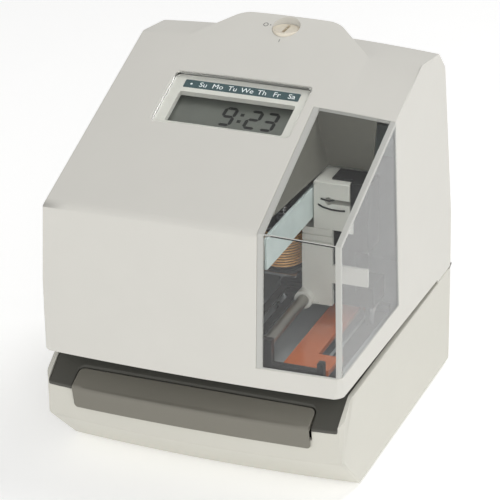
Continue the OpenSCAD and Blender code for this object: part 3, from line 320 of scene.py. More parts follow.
@dataclass(frozen=True)
class ClearPlastic(Finish):
    """Clear moulded plastic with polished faces."""

    ior: float = 1.46
    roughness: float = 0.02
    waves: float = 0.01 * MM

    def paint(self, graph: Graph) -> None:
        """Lays the finish on.

        Args:
            graph: the material's nodes.
        """
        graph.tint(self.colour, 0.01, graph.noise(30 * MM, 2))
        graph.relief(graph.noise(25 * MM, 1), self.waves)
        graph.put(Transmission_Weight=1.0, IOR=self.ior, Roughness=self.roughness)


@dataclass(frozen=True)
class SheetMetal(Finish):
    """Plated sheet with soft crystals and a rolled grain."""

    roughness: float = 0.38
    metallic: float = 1.0

    def paint(self, graph: Graph) -> None:
        """Lays the finish on.

        Args:
            graph: the material's nodes.
        """
        graph.tint(self.colour, 0.08, graph.noise(7 * MM, 5))
        rolled = graph.noise(1.2 * MM, 3, (1, 0.04, 1))
        graph.gloss(self.roughness - 0.08, self.roughness + 0.08, rolled)
        graph.relief(rolled, 0.006 * MM)
        graph.put(Metallic=self.metallic)


@dataclass(frozen=True)
class BrightMetal(Finish):
    """Turned or drawn metal with fine tool lines."""

    roughness: float = 0.24
    metallic: float = 1.0
    lines: float = 0.25 * MM

    def paint(self, graph: Graph) -> None:
        """Lays the finish on.

        Args:
            graph: the material's nodes.
        """
        graph.tint(self.colour, 0.06, graph.noise(5 * MM, 4))
        graph.gloss(self.roughness - 0.06, self.roughness + 0.08, graph.noise(2 * MM, 4))
        graph.relief(graph.noise(self.lines, 2, (1, 1, 0.1)), 0.004 * MM)
        graph.put(Metallic=self.metallic)


@dataclass(frozen=True)
class StackedSteel(Finish):
    """A stack of thin steel sheets, seen on edge."""

    sheet: float = 0.5 * MM

    def paint(self, graph: Graph) -> None:
        """Lays the finish on.

        Args:
            graph: the material's nodes.
        """
        edges = graph.lines(self.sheet, "Y", 0.4)
        graph.tint(self.colour, 0.25, edges)
        graph.gloss(0.35, 0.55, graph.noise(4 * MM, 3))
        graph.relief(edges, 0.05 * MM)
        graph.put(Metallic=0.9)


@dataclass(frozen=True)
class EnamelledWire(Finish):
    """Copper wire under clear enamel."""

    def paint(self, graph: Graph) -> None:
        """Lays the finish on.

        Args:
            graph: the material's nodes.
        """
        graph.tint(self.colour, 0.15, graph.noise(3 * MM, 4))
        graph.gloss(0.22, 0.36, graph.noise(1.5 * MM, 3))
        graph.relief(graph.noise(0.6 * MM, 2), 0.01 * MM)
        graph.put(Metallic=0.15, Coat_Weight=0.5, Coat_Roughness=0.15)


@dataclass(frozen=True)
class Rubber(Finish):
    """Dull rubber with a dusty grain."""

    roughness: float = 0.78

    def paint(self, graph: Graph) -> None:
        """Lays the finish on.

        Args:
            graph: the material's nodes.
        """
        graph.tint(self.colour, 0.15, graph.noise(6 * MM, 5))
        graph.gloss(self.roughness - 0.08, self.roughness + 0.1, graph.noise(1 * MM, 3))
        graph.relief(graph.noise(0.35 * MM, 3), 0.03 * MM)
        graph.put(Specular_IOR_Level=0.3)


@dataclass(frozen=True)
class PrintedInk(Finish):
    """A thin printed layer with slightly uneven cover."""

    roughness: float = 0.55

    def paint(self, graph: Graph) -> None:
        """Lays the finish on.

        Args:
            graph: the material's nodes.
        """
        graph.tint(self.colour, 0.05, graph.noise(0.8 * MM, 4))
        graph.gloss(self.roughness - 0.08, self.roughness + 0.08, graph.noise(0.5 * MM, 3))


@dataclass(frozen=True)
class PanelGlass(Finish):
    """Liquid crystal panel: a dull grey layer under glass."""

    def paint(self, graph: Graph) -> None:
        """Lays the finish on.

        Args:
            graph: the material's nodes.
        """
        graph.tint(self.colour, 0.08, graph.noise(9 * MM, 4))
        graph.gloss(0.32, 0.42, graph.noise(0.4 * MM, 3))
        graph.put(Coat_Weight=0.35, Coat_Roughness=0.06)


@dataclass(frozen=True)
class Laminate(Finish):
    """Green board laminate with a faint weave and copper runs under the mask."""

    def paint(self, graph: Graph) -> None:
        """Lays the finish on.

        Args:
            graph: the material's nodes.
        """
        runs = graph.lines(2.54 * MM, "X", 1.5)
        graph.tint(self.colour, 0.25, runs)
        graph.gloss(0.28, 0.42, graph.noise(1 * MM, 3))
        graph.relief(runs, 0.03 * MM)
        graph.put(Coat_Weight=0.4, Coat_Roughness=0.2)


@dataclass(frozen=True)
class InkedFabric(Finish):
    """Woven ribbon soaked with ink."""

    thread: float = 0.25 * MM

    def paint(self, graph: Graph) -> None:
        """Lays the finish on.

        Args:
            graph: the material's nodes.
        """
        warp, weft = graph.lines(self.thread, "X"), graph.lines(self.thread, "Y")
        weave = graph.add("Math")
        weave.operation = "MULTIPLY"
        graph.link(warp, weave.inputs[0])
        graph.link(weft, weave.inputs[1])
        graph.tint(self.colour, 0.4, weave.outputs["Value"])
        graph.gloss(0.6, 0.8, graph.noise(4 * MM, 3))
        graph.relief(weave.outputs["Value"], 0.05 * MM)
        graph.put(Sheen_Weight=0.2)


FINISHES: dict[Slot, Finish] = {
    Slot.BASE: MouldedPlastic("base plastic", srgb(209, 207, 197), 0.46),
    Slot.COVER: MouldedPlastic("cover plastic", srgb(215, 213, 206), 0.48),
    Slot.CLEAR: ClearPlastic("clear plastic", srgb(250, 251, 250)),
    Slot.LINING: MouldedPlastic("lining plastic", srgb(98, 97, 89), 0.5),
    Slot.FRAME: MouldedPlastic("frame plastic", srgb(203, 202, 195), 0.3, coat=0.3),
    Slot.STRIP: PrintedInk("strip print", srgb(52, 76, 80)),
    Slot.THROAT: MouldedPlastic("throat plastic", srgb(78, 77, 71), 0.5, 0.7 * MM, 0.03 * MM),
    Slot.BAR: MouldedPlastic("bar plastic", srgb(124, 121, 111), 0.48, 0.7 * MM, 0.02 * MM),
    Slot.FOOT: Rubber("foot rubber", srgb(50, 50, 49)),
    Slot.PLATEN: Rubber("platen rubber", srgb(34, 34, 34)),
    Slot.BLACK: MouldedPlastic("black plastic", srgb(27, 27, 28), 0.42),
    Slot.BELT: Rubber("belt rubber", srgb(30, 30, 30), 0.7),
    Slot.RIBBON: InkedFabric("inked ribbon", srgb(24, 24, 32)),
    Slot.CASSETTE: MouldedPlastic("cassette plastic", srgb(66, 66, 70), 0.45),
    Slot.LID: MouldedPlastic("lid plastic", srgb(172, 84, 30), 0.2, coat=0.9),
    Slot.WHITE: MouldedPlastic("white plastic", srgb(203, 203, 196), 0.42),
    Slot.ZINC: SheetMetal("zinc sheet", srgb(176, 181, 182), metallic=0.35),
    Slot.RAIL: SheetMetal("rail paint", srgb(190, 202, 200), 0.36, 0.15),
    Slot.STEEL: BrightMetal("bright steel", srgb(205, 205, 207)),
    Slot.CORE: StackedSteel("stacked steel", srgb(112, 112, 116)),
    Slot.WRAP: MouldedPlastic("coil wrap", srgb(200, 164, 104), 0.55),
    Slot.COPPER: EnamelledWire("copper wire", srgb(255, 192, 124)),
    Slot.BOARD: Laminate("board laminate", srgb(28, 92, 50)),
    Slot.BRASS: BrightMetal("turned brass", srgb(206, 172, 92), 0.26),
    Slot.BATTERY: MouldedPlastic("battery wrap", srgb(52, 92, 148), 0.25, coat=0.5),
    Slot.LCD: PanelGlass("panel glass", srgb(96, 99, 93)),
    Slot.NICKEL: BrightMetal("nickel", srgb(242, 234, 218), 0.34, 0.5),
}

LENS_PLASTIC = ClearPlastic("lens plastic", srgb(250, 251, 250), 1.2)
# Painted highlight: opaque pale plastic on the clear corner's edges, in place of the bright reflections on them
PAINTED_EDGE_HIGHLIGHT = MouldedPlastic("painted edge highlight", srgb(190, 190, 185), 0.35, 0.3 * MM, 0.01 * MM)
# Painted shade: dark brown for the copper layers under the coil's outer turns, as the shade between the turns
COIL_GROOVE_SHADE = MouldedPlastic("coil groove shade", srgb(70, 42, 24), 0.5)
ROD_STEEL = BrightMetal("rod steel", srgb(158, 156, 149), 0.3)
WHITE_INK = PrintedInk("white ink", srgb(236, 240, 240))
BLACK_INK = PrintedInk("black ink", srgb(7, 7, 8))
GREY_INK = PrintedInk("grey ink", srgb(120, 120, 116))


@lru_cache(maxsize=None)
def material_of(finish: Finish) -> Material:
    """Builds each finish's material once."""
    return finish.material()


def node_mesh(node: str) -> BMesh:
    """Copies a CAD node's mesh, joined at its corners and with whole flat faces.

    Args:
        node: name of the CAD node.

    Returns:
        The copy.
    """
    source = frame["nodes"][node].data.copy()
    normals = source.attributes.get("custom_normal")
    if normals is not None:
        source.attributes.remove(normals)
    mesh = bmesh.new()
    mesh.from_mesh(source)
    bpy.data.meshes.remove(source)
    bmesh.ops.remove_doubles(mesh, verts=mesh.verts, dist=MERGE)
    bmesh.ops.dissolve_limit(mesh, angle_limit=FLAT_ANGLE, verts=mesh.verts, edges=mesh.edges)
    return mesh


def node_tree(*nodes: str) -> BVHTree:
    """Builds a search tree of CAD nodes.

    Args:
        nodes: their names.

    Returns:
        The tree, in metres.
    """
    points, faces = [], []
    for node in nodes:
        data = frame["nodes"][node].data
        start = len(points)
        points.extend(v.co.copy() for v in data.vertices)
        faces.extend([start + i for i in p.vertices] for p in data.polygons)
    return BVHTree.FromPolygons(points, faces)


def face_frame(node: str) -> Matrix:
    """Finds the frame of a flat node's upper face.

    Args:
        node: name of the CAD node.

    Returns:
        A matrix whose X runs along +X, whose Z leaves the face and whose origin is the face's middle.
    """
    mesh = node_mesh(node)
    face = max((f for f in mesh.faces if f.normal.z > LEANING), key=lambda f: f.calc_area())
    normal = face.normal.copy()
    up = normal.cross(X_AXIS)
    corners = [v.co.copy() for v in face.verts]
    middle = Vector()
    for axis in (X_AXIS, up, normal):
        along = [c.dot(axis) for c in corners]
        middle += axis * (min(along) + max(along)) / 2
    mesh.free()
    return Matrix.Translation(middle) @ Matrix((X_AXIS, up, normal)).transposed().to_4x4()


def frame_middle(node: str) -> Vector:
    """Middle of a CAD node's box."""
    low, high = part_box(node)
    return (low + high) / 2


def dress(obj: Object, *finishes: Finish) -> None:
    """Gives an object its materials.

    Args:
        obj: the object.
        finishes: its finishes, in the order of its material numbers.
    """
    obj.data.materials.clear()
    for finish in finishes:
        obj.data.materials.append(material_of(finish))


def show(obj: Object) -> None:
    """Puts an object into the scene."""
    bpy.context.scene.collection.objects.link(obj)


def mesh_object(name: str, mesh: BMesh) -> Object:
    """Makes an object and puts it into the scene.

    Args:
        name: its name.
        mesh: its mesh, in place; it is used up.

    Returns:
        The object.
    """
    data = bpy.data.meshes.new(name)
    mesh.to_mesh(data)
    mesh.free()
    obj = bpy.data.objects.new(name, data)
    show(obj)
    return obj


def add_piece(name: str, mesh: BMesh, body: Body, slot: Slot, *finishes: Finish,
              stands_for: Iterable[str] = (), smooth: bool = True) -> Object:
    """Makes a piece of the object from a finished mesh.

    Args:
        name: name of the piece.
        mesh: its mesh, in place; it is used up.
        body: body that it rides on.
        slot: slot that its finish belongs to.
        finishes: its finishes, or none for the slot's own.
        stands_for: CAD nodes that it replaces.
        smooth: whether faces under the sharp angle are shaded as one.

    Returns:
        The new object.
    """
    obj = mesh_object(name, mesh)
    data = obj.data
    if smooth:
        data.polygons.foreach_set("use_smooth", [True] * len(data.polygons))
        data.set_sharp_from_angle(angle=SHARP_ANGLE)
    for finish in finishes or (FINISHES[slot],):
        data.materials.append(material_of(finish))
    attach(obj, body.value)
    if stands_for:
        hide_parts(*stands_for)
    LOG.info("piece %s on %s", name, body.value)
    return obj


def soften(node: str, width: float, segments: int = 2) -> None:
    """Rounds the edges of a CAD node with modifiers.

    Args:
        node: name of the CAD node.
        width: width of the rounding.
        segments: faces across it.
    """
    obj = frame["nodes"][node]
    obj.modifiers.new("Join", "WELD").merge_threshold = MERGE
    flat = obj.modifiers.new("Flat faces", "DECIMATE")
    flat.decimate_type = "DISSOLVE"
    flat.angle_limit = FLAT_ANGLE
    edge = obj.modifiers.new("Edges", "BEVEL")
    edge.width, edge.segments = width, segments
    edge.limit_method, edge.angle_limit = "ANGLE", SOFTEN_ANGLE
    obj.modifiers.new("Normals", "WEIGHTED_NORMAL").keep_sharp = True


def round_edges(obj: Object, width: float, segments: int = 4) -> bpy.types.BevelModifier:
    """Rounds a piece's edges by the weights that weigh_edges gave them.

    Args:
        obj: the piece.
        width: the widest rounding.
        segments: faces across it.

    Returns:
        The modifier that rounds them.
    """
    edge = obj.modifiers.new("Edges", "BEVEL")
    edge.width, edge.segments = width, segments
    edge.limit_method, edge.use_clamp_overlap = "WEIGHT", False
    obj.modifiers.new("Normals", "WEIGHTED_NORMAL").keep_sharp = True
    return edge


def weigh_edges(mesh: BMesh, width: float, radius_of: Callable[[Vector, Vector, Vector], float]) -> None:
    """Gives each convex edge its own share of the rounding, less beside a narrow face.

    Args:
        mesh: the mesh.
        width: the widest rounding.
        radius_of: the rounding of an edge, from its middle and its faces' normals, the upper one first.
    """
    layer = mesh.edges.layers.float.new("bevel_weight_edge")
    for edge in mesh.edges:
        if len(edge.link_faces) != 2 or not edge.is_convex or edge.calc_face_angle(0) < ROUND_ANGLE:
            continue
        upper, lower = sorted((f.normal for f in edge.link_faces), key=lambda n: -n.z)
        middle = (edge.verts[0].co + edge.verts[1].co) / 2
        room = min(f.calc_area() for f in edge.link_faces) / edge.calc_length()
        edge[layer] = min(radius_of(middle, upper, lower), NARROW * room) / width


def is_upright(edge: BMEdge) -> bool:
    """Tells whether an edge stands straight up."""
    return (edge.verts[0].co - edge.verts[1].co).xy.length < MERGE


def round_corners(mesh: BMesh, corners: list[BMEdge], radius: float) -> list[BMVert]:
    """Rounds the corners of an outline.

    Args:
        mesh: the mesh.
        corners: the edges at the corners.
        radius: their rounding.

    Returns:
        The new corners' points.
    """
    return bmesh.ops.bevel(mesh, geom=corners, offset=radius, segments=6, profile=0.5, affect="EDGES",
                           material=-1)["verts"]


def raise_flat(mesh: BMesh, faces: list[BMFace], lift: Vector) -> None:
    """Turns flat faces into closed plates.

    Args:
        mesh: mesh that holds them.
        faces: the faces of one plate.
        lift: the plate's thickness, as a vector.
    """
    raised = bmesh.ops.extrude_face_region(mesh, geom=faces, use_keep_orig=True)["geom"]
    bmesh.ops.translate(mesh, verts=[g for g in raised if isinstance(g, BMVert)], vec=lift)
    bmesh.ops.recalc_face_normals(mesh, faces=mesh.faces)


def add_wire(mesh: BMesh, points: list[Vector], radius: float, sides: int = 10) -> None:
    """Sweeps a round section along a line of points.

    Args:
        mesh: mesh that takes the wire.
        points: the line.
        radius: radius of the wire.
        sides: faces round it.
    """
    ways = [(b - a).normalized() for a, b in zip(points, points[1:])]
    turns = [ways[0], *((a + b).normalized() for a, b in zip(ways, ways[1:])), ways[-1]]
    places = [Matrix.Translation(p) @ t.to_track_quat("Z", "Y").to_matrix().to_4x4() for p, t in zip(points, turns)]
    ring = bmesh.ops.create_circle(mesh, cap_ends=True, segments=sides, radius=radius, matrix=places[0])["verts"]
    edges = list({e for v in ring for e in v.link_edges})
    for start, end in zip(places, places[1:]):
        made = bmesh.ops.extrude_edge_only(mesh, edges=edges)["geom"]
        ring = [g for g in made if isinstance(g, BMVert)]
        edges = [g for g in made if isinstance(g, BMEdge) and all(v in ring for v in g.verts)]
        bmesh.ops.transform(mesh, verts=ring, matrix=end @ start.inverted())
    bmesh.ops.contextual_create(mesh, geom=edges)
    bmesh.ops.recalc_face_normals(mesh, faces=mesh.faces)


@dataclass
class CoverShell:
    """Lift-off cover and the clear corner that continues it."""

    front_turn: float = 2.8 * MM
    rim: float = 1.7 * MM
    pane_edge: float = 0.3 * MM
    tab_turn: float = 3.8 * MM
    foot: float = 0.25 * MM
    seam: float = 0.3 * MM
    seam_reach: float = 0.7 * MM
    upper_face: float = 0.6
    turn_span: float = 0.7
    cut_face: float = 0.7
    foot_height: float = 60.5 * MM
    tab_height: float = 180 * MM
    tab_front: float = 36 * MM
    tab_rim: float = 199 * MM
    tab_bend: float = math.radians(30)
    wide_face: float = 100 * MM * MM
    border: float = 3.0 * MM
    corner_front: float = 2.6 * MM
    corner_side: float = 1.9 * MM
    lining_edge: float = 0.25 * MM

    def build(self) -> None:
        """Makes the rounded cover, the clear corner and the lining behind it."""
        neighbours = node_tree("corner_window", "display_lens", "display_frame", "lock_barrel")
        cover = node_mesh("cover_shell")
        self.round_tab(cover)
        self.weigh(cover, neighbours, self.front_turn, self.rim)
        round_edges(add_piece("cover", cover, Body.COVER, Slot.COVER, stands_for=["cover_shell"]), self.front_turn)
        pane = node_mesh("corner_window")
        seams = node_tree("cover_shell")
        self.mark_painted_highlights(pane, seams)
        self.weigh(pane, seams, self.pane_edge, self.pane_edge)
        # The clear corner's edges take a second, opaque pale material as painted highlight
        window = add_piece("window_pane", pane, Body.COVER, Slot.CLEAR, FINISHES[Slot.CLEAR], PAINTED_EDGE_HIGHLIGHT,
                           stands_for=["corner_window"])
        window.visible_shadow = False
        # The rounded edges of the clear corner take the painted highlight as well
        round_edges(window, self.front_turn).material = 1
        soften("window_lining", self.lining_edge)

    def round_tab(self, mesh: BMesh) -> None:
        """Rounds the two upright corners of the tab, after joining its split rear edge beside them.

        Args:
            mesh: the cover.
        """
        split = [e for e in mesh.edges if all(v.co.z > self.tab_rim for v in e.verts)
                 and all(min(f.normal.yz) > LEANING for f in e.link_faces)
                 and any(abs(f.normal.x) > LEANING for v in e.verts for f in v.link_faces)]
        bmesh.ops.dissolve_edges(mesh, edges=split, use_verts=True)
        corners = [e for e in mesh.edges if e.is_convex and all(v.co.z > self.tab_height for v in e.verts)
                   and all(f.normal.y > LEANING for f in e.link_faces)
                   and any(abs(f.normal.x) > ASIDE for f in e.link_faces) and e.calc_face_angle() > self.tab_bend]
        cover = node_tree("cover_shell")
        for vert in round_corners(mesh, corners, self.tab_turn):
            top = cover.ray_cast(Vector((vert.co.x, vert.co.y, CAD_BOX[1].z + MM)), -Z_AXIS)[0]
            if top is not None and top.z > self.tab_rim:
                vert.co.z = min(vert.co.z, top.z)

    def weigh(self, mesh: BMesh, neighbours: BVHTree, turn: float, rim: float) -> None:
        """Sets the rounding of each outer edge.

        Args:
            mesh: cover or clear corner.
            neighbours: pieces that fit into it, or that it fits into.
            turn: rounding between front and slope.
            rim: rounding between sides and slope.
        """
        centre = (CAD_BOX[0] + CAD_BOX[1]) / 2

        def radius_of(middle: Vector, upper: Vector, lower: Vector) -> float:
            """Chooses the rounding by where the edge lies.

            Args:
                middle: middle of the edge.
                upper, lower: normals of its faces.

            Returns:
                The rounding.
            """
            on_tab = middle.y > self.tab_front and middle.z > self.tab_height
            if (upper + lower).dot(middle - centre) < 0 or on_tab:
                return 0.0
            if neighbours.find_nearest(middle, self.seam_reach)[0] is not None:
                return self.seam
            if middle.z < self.foot_height:
                return self.foot
            if upper.z < self.upper_face:
                return 0.0
            return turn + (rim - turn) * min((1 + lower.y) / self.turn_span, 1)

        weigh_edges(mesh, self.front_turn, radius_of)

    def mark_painted_highlights(self, mesh: BMesh, cover: BVHTree) -> None:
        """Marks the parts of the clear corner that get the painted highlight, an opaque pale plastic that stands in
        for the bright reflections on its edges: its cut edges, its left border and its upright corner.

        Args:
            mesh: the clear corner.
            cover: the cover.
        """
        foot = min((v.co for v in mesh.verts), key=lambda p: (round(p.z, 4), p.x))
        top = min((v.co for v in mesh.verts), key=lambda p: p.x)
        across = Vector((foot.y - top.y, top.x - foot.x, 0)).normalized()
        across *= math.copysign(1, across.x)
        cuts = [(foot + across * self.border, -across)]
        for turned, depth in ((X_AXIS, self.corner_front), (-Y_AXIS, self.corner_side), (Z_AXIS, self.corner_side)):
            wide = [f for f in mesh.faces if f.normal.dot(turned) > FACING and f.calc_area() > self.wide_face]
            face = max(wide, key=lambda f: max(v.co.x for v in f.verts))
            cuts.append((face.verts[0].co - face.normal * depth, face.normal.copy()))
        for point, way in cuts:
            bmesh.ops.bisect_plane(mesh, geom=[*mesh.verts, *mesh.edges, *mesh.faces], plane_co=point, plane_no=way)
        for face in mesh.faces:
            middle = face.calc_center_median()
            hit, normal, _, _ = cover.find_nearest(middle, self.seam_reach)
            cut = hit is not None and normal.dot(face.normal) < -self.cut_face
            left, side, front, slope = ((middle - point).dot(way) > 0 for point, way in cuts)
            # These faces get the painted highlight
            if cut or left or side and (front or slope):
                face.material_index = 1


@dataclass
class Display:
    """Clear lens, frame, weekday strip and the panel with its digits."""

    lens_edge: float = 0.35 * MM
    frame_edge: float = 0.2 * MM
    back_gap: float = 0.1 * MM
    ink: float = 0.04 * MM
    day_names: tuple[str, ...] = ("Su", "Mo", "Tu", "We", "Th", "Fr", "Sa")
    first_day: float = -20.9 * MM
    day_pitch: float = 8.0 * MM
    letter_size: float = 4.6 * MM
    dot_place: float = -27.4 * MM
    dot_radius: float = 0.6 * MM
    digits: str = "9:23"
    digit_height: float = 12.0 * MM
    digit_width: float = 5.7 * MM
    digit_pitch: float = 8.8 * MM
    colon_room: float = 4.8 * MM
    colon_heights: tuple[float, float] = (0.3, 0.7)
    colon_dot: float = 0.55
    bar_width: float = 1.8 * MM
    bar_gap: float = 0.12 * MM
    lean: float = 0.08
    last_digit: float = 22.0 * MM
    digit_rise: float = 2.4 * MM

    SEGMENTS = {"a": ((0, 2), (1, 2)), "b": ((1, 2), (1, 1)), "c": ((1, 1), (1, 0)), "d": ((0, 0), (1, 0)),
                "e": ((0, 1), (0, 0)), "f": ((0, 2), (0, 1)), "g": ((0, 1), (1, 1))}
    LIT = {"2": "abged", "3": "abgcd", "9": "abfgcd"}

    def build(self) -> None:
        """Makes the lens, the strip's letters and the panel's digits."""
        self.lens()
        self.letters()
        self.readout()
        soften("display_frame", self.frame_edge)

    def lens(self) -> None:
        """Fills the lens's hollow back flat, as far as the frame under it."""
        plane = face_frame("display_frame")
        to_plane = plane.inverted()
        normal = plane.col[2].to_3d()
        mesh = node_mesh("display_lens")
        under = {v for f in mesh.faces if f.normal.dot(normal) < -FACING for v in f.verts}
        for vert in under:
            vert.co -= normal * ((to_plane @ vert.co).z - self.back_gap)
        bmesh.ops.dissolve_limit(mesh, angle_limit=FLAT_ANGLE, verts=mesh.verts, edges=mesh.edges)
        mesh.normal_update()
        weigh_edges(mesh, self.lens_edge, lambda middle, upper, lower: self.lens_edge)
        lens = add_piece("lens", mesh, Body.COVER, Slot.CLEAR, LENS_PLASTIC, stands_for=["display_lens"])
        lens.visible_shadow = False
        round_edges(lens, self.lens_edge, 3)

    def letters(self) -> None:
        """Prints the weekday letters and a dot on the strip."""
        place = face_frame("day_strip")
        ink = bmesh.new()
        for number, name in enumerate(self.day_names):
            spot = Matrix.Translation((self.first_day + number * self.day_pitch, 0, 0))
            add_text(ink, name, self.letter_size, self.ink, place @ spot)
        dot = Matrix.Translation((self.dot_place, 0, self.ink / 2))
        bmesh.ops.create_cone(ink, cap_ends=True, segments=24, radius1=self.dot_radius, radius2=self.dot_radius,
                              depth=self.ink, matrix=place @ dot)
        add_piece("strip_letters", ink, Body.COVER, Slot.STRIP, WHITE_INK, smooth=False)

    def readout(self) -> None:
        """Draws the digits on the panel from bars with pointed ends."""
        place = face_frame("lcd_panel")
        ink = bmesh.new()
        right = self.last_digit
        for sign in reversed(self.digits):
            if sign == ":":
                middle = right + (self.digit_pitch - self.digit_width - self.colon_room) / 2
                for height in self.colon_heights:
                    self.dot(ink, place, middle, height * self.digit_height)
                right -= self.colon_room
                continue
            for segment in self.LIT[sign]:
                self.bar(ink, place, right - self.digit_width, *self.SEGMENTS[segment])
            right -= self.digit_pitch
        add_piece("panel_digits", ink, Body.CHASSIS, Slot.LCD, BLACK_INK, smooth=False)

    def corner(self, left: float, across: float, up: float) -> Vector:
        """A point of a digit in the panel's frame."""
        rise = (up / 2) * self.digit_height
        return Vector((left + across * self.digit_width + self.lean * rise,
                       rise - self.digit_height / 2 + self.digit_rise, 0))

    def bar(self, ink: BMesh, place: Matrix, left: float, start: tuple[int, int], end: tuple[int, int]) -> None:
        """Adds one bar of a digit.

        Args:
            ink: mesh that takes it.
            place: frame of the panel's face.
            left: left side of the digit.
            start, end: its ends, across and up, in digit corners.
        """
        a, b = self.corner(left, *start), self.corner(left, *end)
        along = (b - a).normalized()
        aside = Vector((-along.y, along.x, 0)) * self.bar_width / 2
        a, b = a + along * self.bar_gap, b - along * self.bar_gap
        point = along * self.bar_width / 2
        loop = [a, a + point - aside, b - point - aside, b, b - point + aside, a + point + aside]
        self.raise_face(ink, place, loop)

    def dot(self, ink: BMesh, place: Matrix, left: float, rise: float) -> None:
        """Adds one square dot of the colon.

        Args:
            ink: mesh that takes it.
            place: frame of the panel's face.
            left: its middle, across.
            rise: its middle, above the digits' foot.
        """
        half = self.bar_width * self.colon_dot
        middle = Vector((left + self.lean * rise, rise - self.digit_height / 2 + self.digit_rise, 0))
        corners = [(-half, -half), (half, -half), (half, half), (-half, half)]
        self.raise_face(ink, place, [middle + Vector((x, y, 0)) for x, y in corners])

    def raise_face(self, ink: BMesh, place: Matrix, loop: list[Vector]) -> None:
        """Closes a loop on the panel and raises it by the ink's thickness."""
        face = ink.faces.new([ink.verts.new(place @ p) for p in loop])
        raise_flat(ink, [face], place.col[2].to_3d() * self.ink)


def add_text(mesh: BMesh, words: str, size: float, depth: float, place: Matrix) -> None:
    """Adds raised letters to a mesh.

    Args:
        mesh: mesh that takes them.
        words: the letters.
        size: size of the type.
        depth: thickness of the letters.
        place: frame of the spot, whose Z leaves the surface.
    """
    curve = bpy.data.curves.new(words, "FONT")
    curve.body, curve.size, curve.extrude = words, size, depth / 2
    curve.align_x, curve.align_y = "CENTER", "CENTER"
    curve.resolution_u = 4
    holder = bpy.data.objects.new(words, curve)
    show(holder)
    bpy.context.view_layer.update()
    shape = bpy.data.meshes.new_from_object(holder.evaluated_get(bpy.context.evaluated_depsgraph_get()))
    shape.transform(place @ Matrix.Translation((0, 0, depth / 2)))
    mesh.from_mesh(shape)
    bpy.data.objects.remove(holder)
    bpy.data.curves.remove(curve)
    bpy.data.meshes.remove(shape)


@dataclass
class Coil:
    """A wire wound round an upright axis, made by spinning its round section."""

    middle: Vector
    radius: float
    wire: float
    sides: int = 12
    steps: int = 32

    def start(self, mesh: BMesh, turn: float) -> list[BMVert]:
        """Makes the wire's first section.

        Args:
            mesh: mesh that takes it.
            turn: angle round the axis where the wire starts.

        Returns:
            The section's vertices.
        """
        upright = Matrix.Rotation(math.pi / 2, 4, "X")
        out = Matrix.Rotation(turn, 4, "Z") @ Matrix.Translation((self.radius, 0, 0)) @ upright
        place = Matrix.Translation(self.middle) @ out
        return bmesh.ops.create_circle(mesh, segments=self.sides, radius=self.wire / 2, matrix=place)["verts"]

    def wind(self, mesh: BMesh, section: list[BMVert], turns: float, rise: float) -> list[BMVert]:
        """Winds the wire on from its last section.

        Args:
            mesh: mesh that holds the wire.
            section: the last section's vertices.
            turns: turns to wind.
            rise: height gained over them.

        Returns:
            The new last section's vertices.
        """
        steps = max(1, round(turns * self.steps))
        edges = {e for v in section for e in v.link_edges if e.other_vert(v) in section}
        wound = bmesh.ops.spin(mesh, geom=[*section, *edges], cent=self.middle, axis=Z_AXIS,
                               dvec=(0, 0, rise / steps), angle=math.tau * turns, steps=steps)
        return [g for g in wound["geom_last"] if isinstance(g, BMVert)]

    @staticmethod
    def close(mesh: BMesh) -> None:
        """Closes the wire's two ends and turns its faces outwards.

        Args:
            mesh: mesh that holds the wire.
        """
        bmesh.ops.holes_fill(mesh, edges=[e for e in mesh.edges if e.is_boundary], sides=0)
        bmesh.ops.remove_doubles(mesh, verts=mesh.verts, dist=MERGE)
        bmesh.ops.recalc_face_normals(mesh, faces=mesh.faces)


def add_spring(mesh: BMesh, middle: Vector, radius: float, wire: float, turns: int, height: float) -> None:
    """Winds a compression spring with a closed turn at each end.

    Args:
        mesh: mesh that takes it.
        middle: middle of its lower seat.
        radius: radius of the wire's middle.
        wire: diameter of the wire.
        turns: open turns.
        height: free height.
    """
    coil = Coil(middle + Z_AXIS * wire / 2, radius, wire, sides=10)
    section = coil.start(mesh, 0)
    closed = wire * END_TURN
    for count, rise in ((1, closed), (turns, height - wire - 2 * closed), (1, closed)):
        section = coil.wind(mesh, section, count, rise)
    Coil.close(mesh)


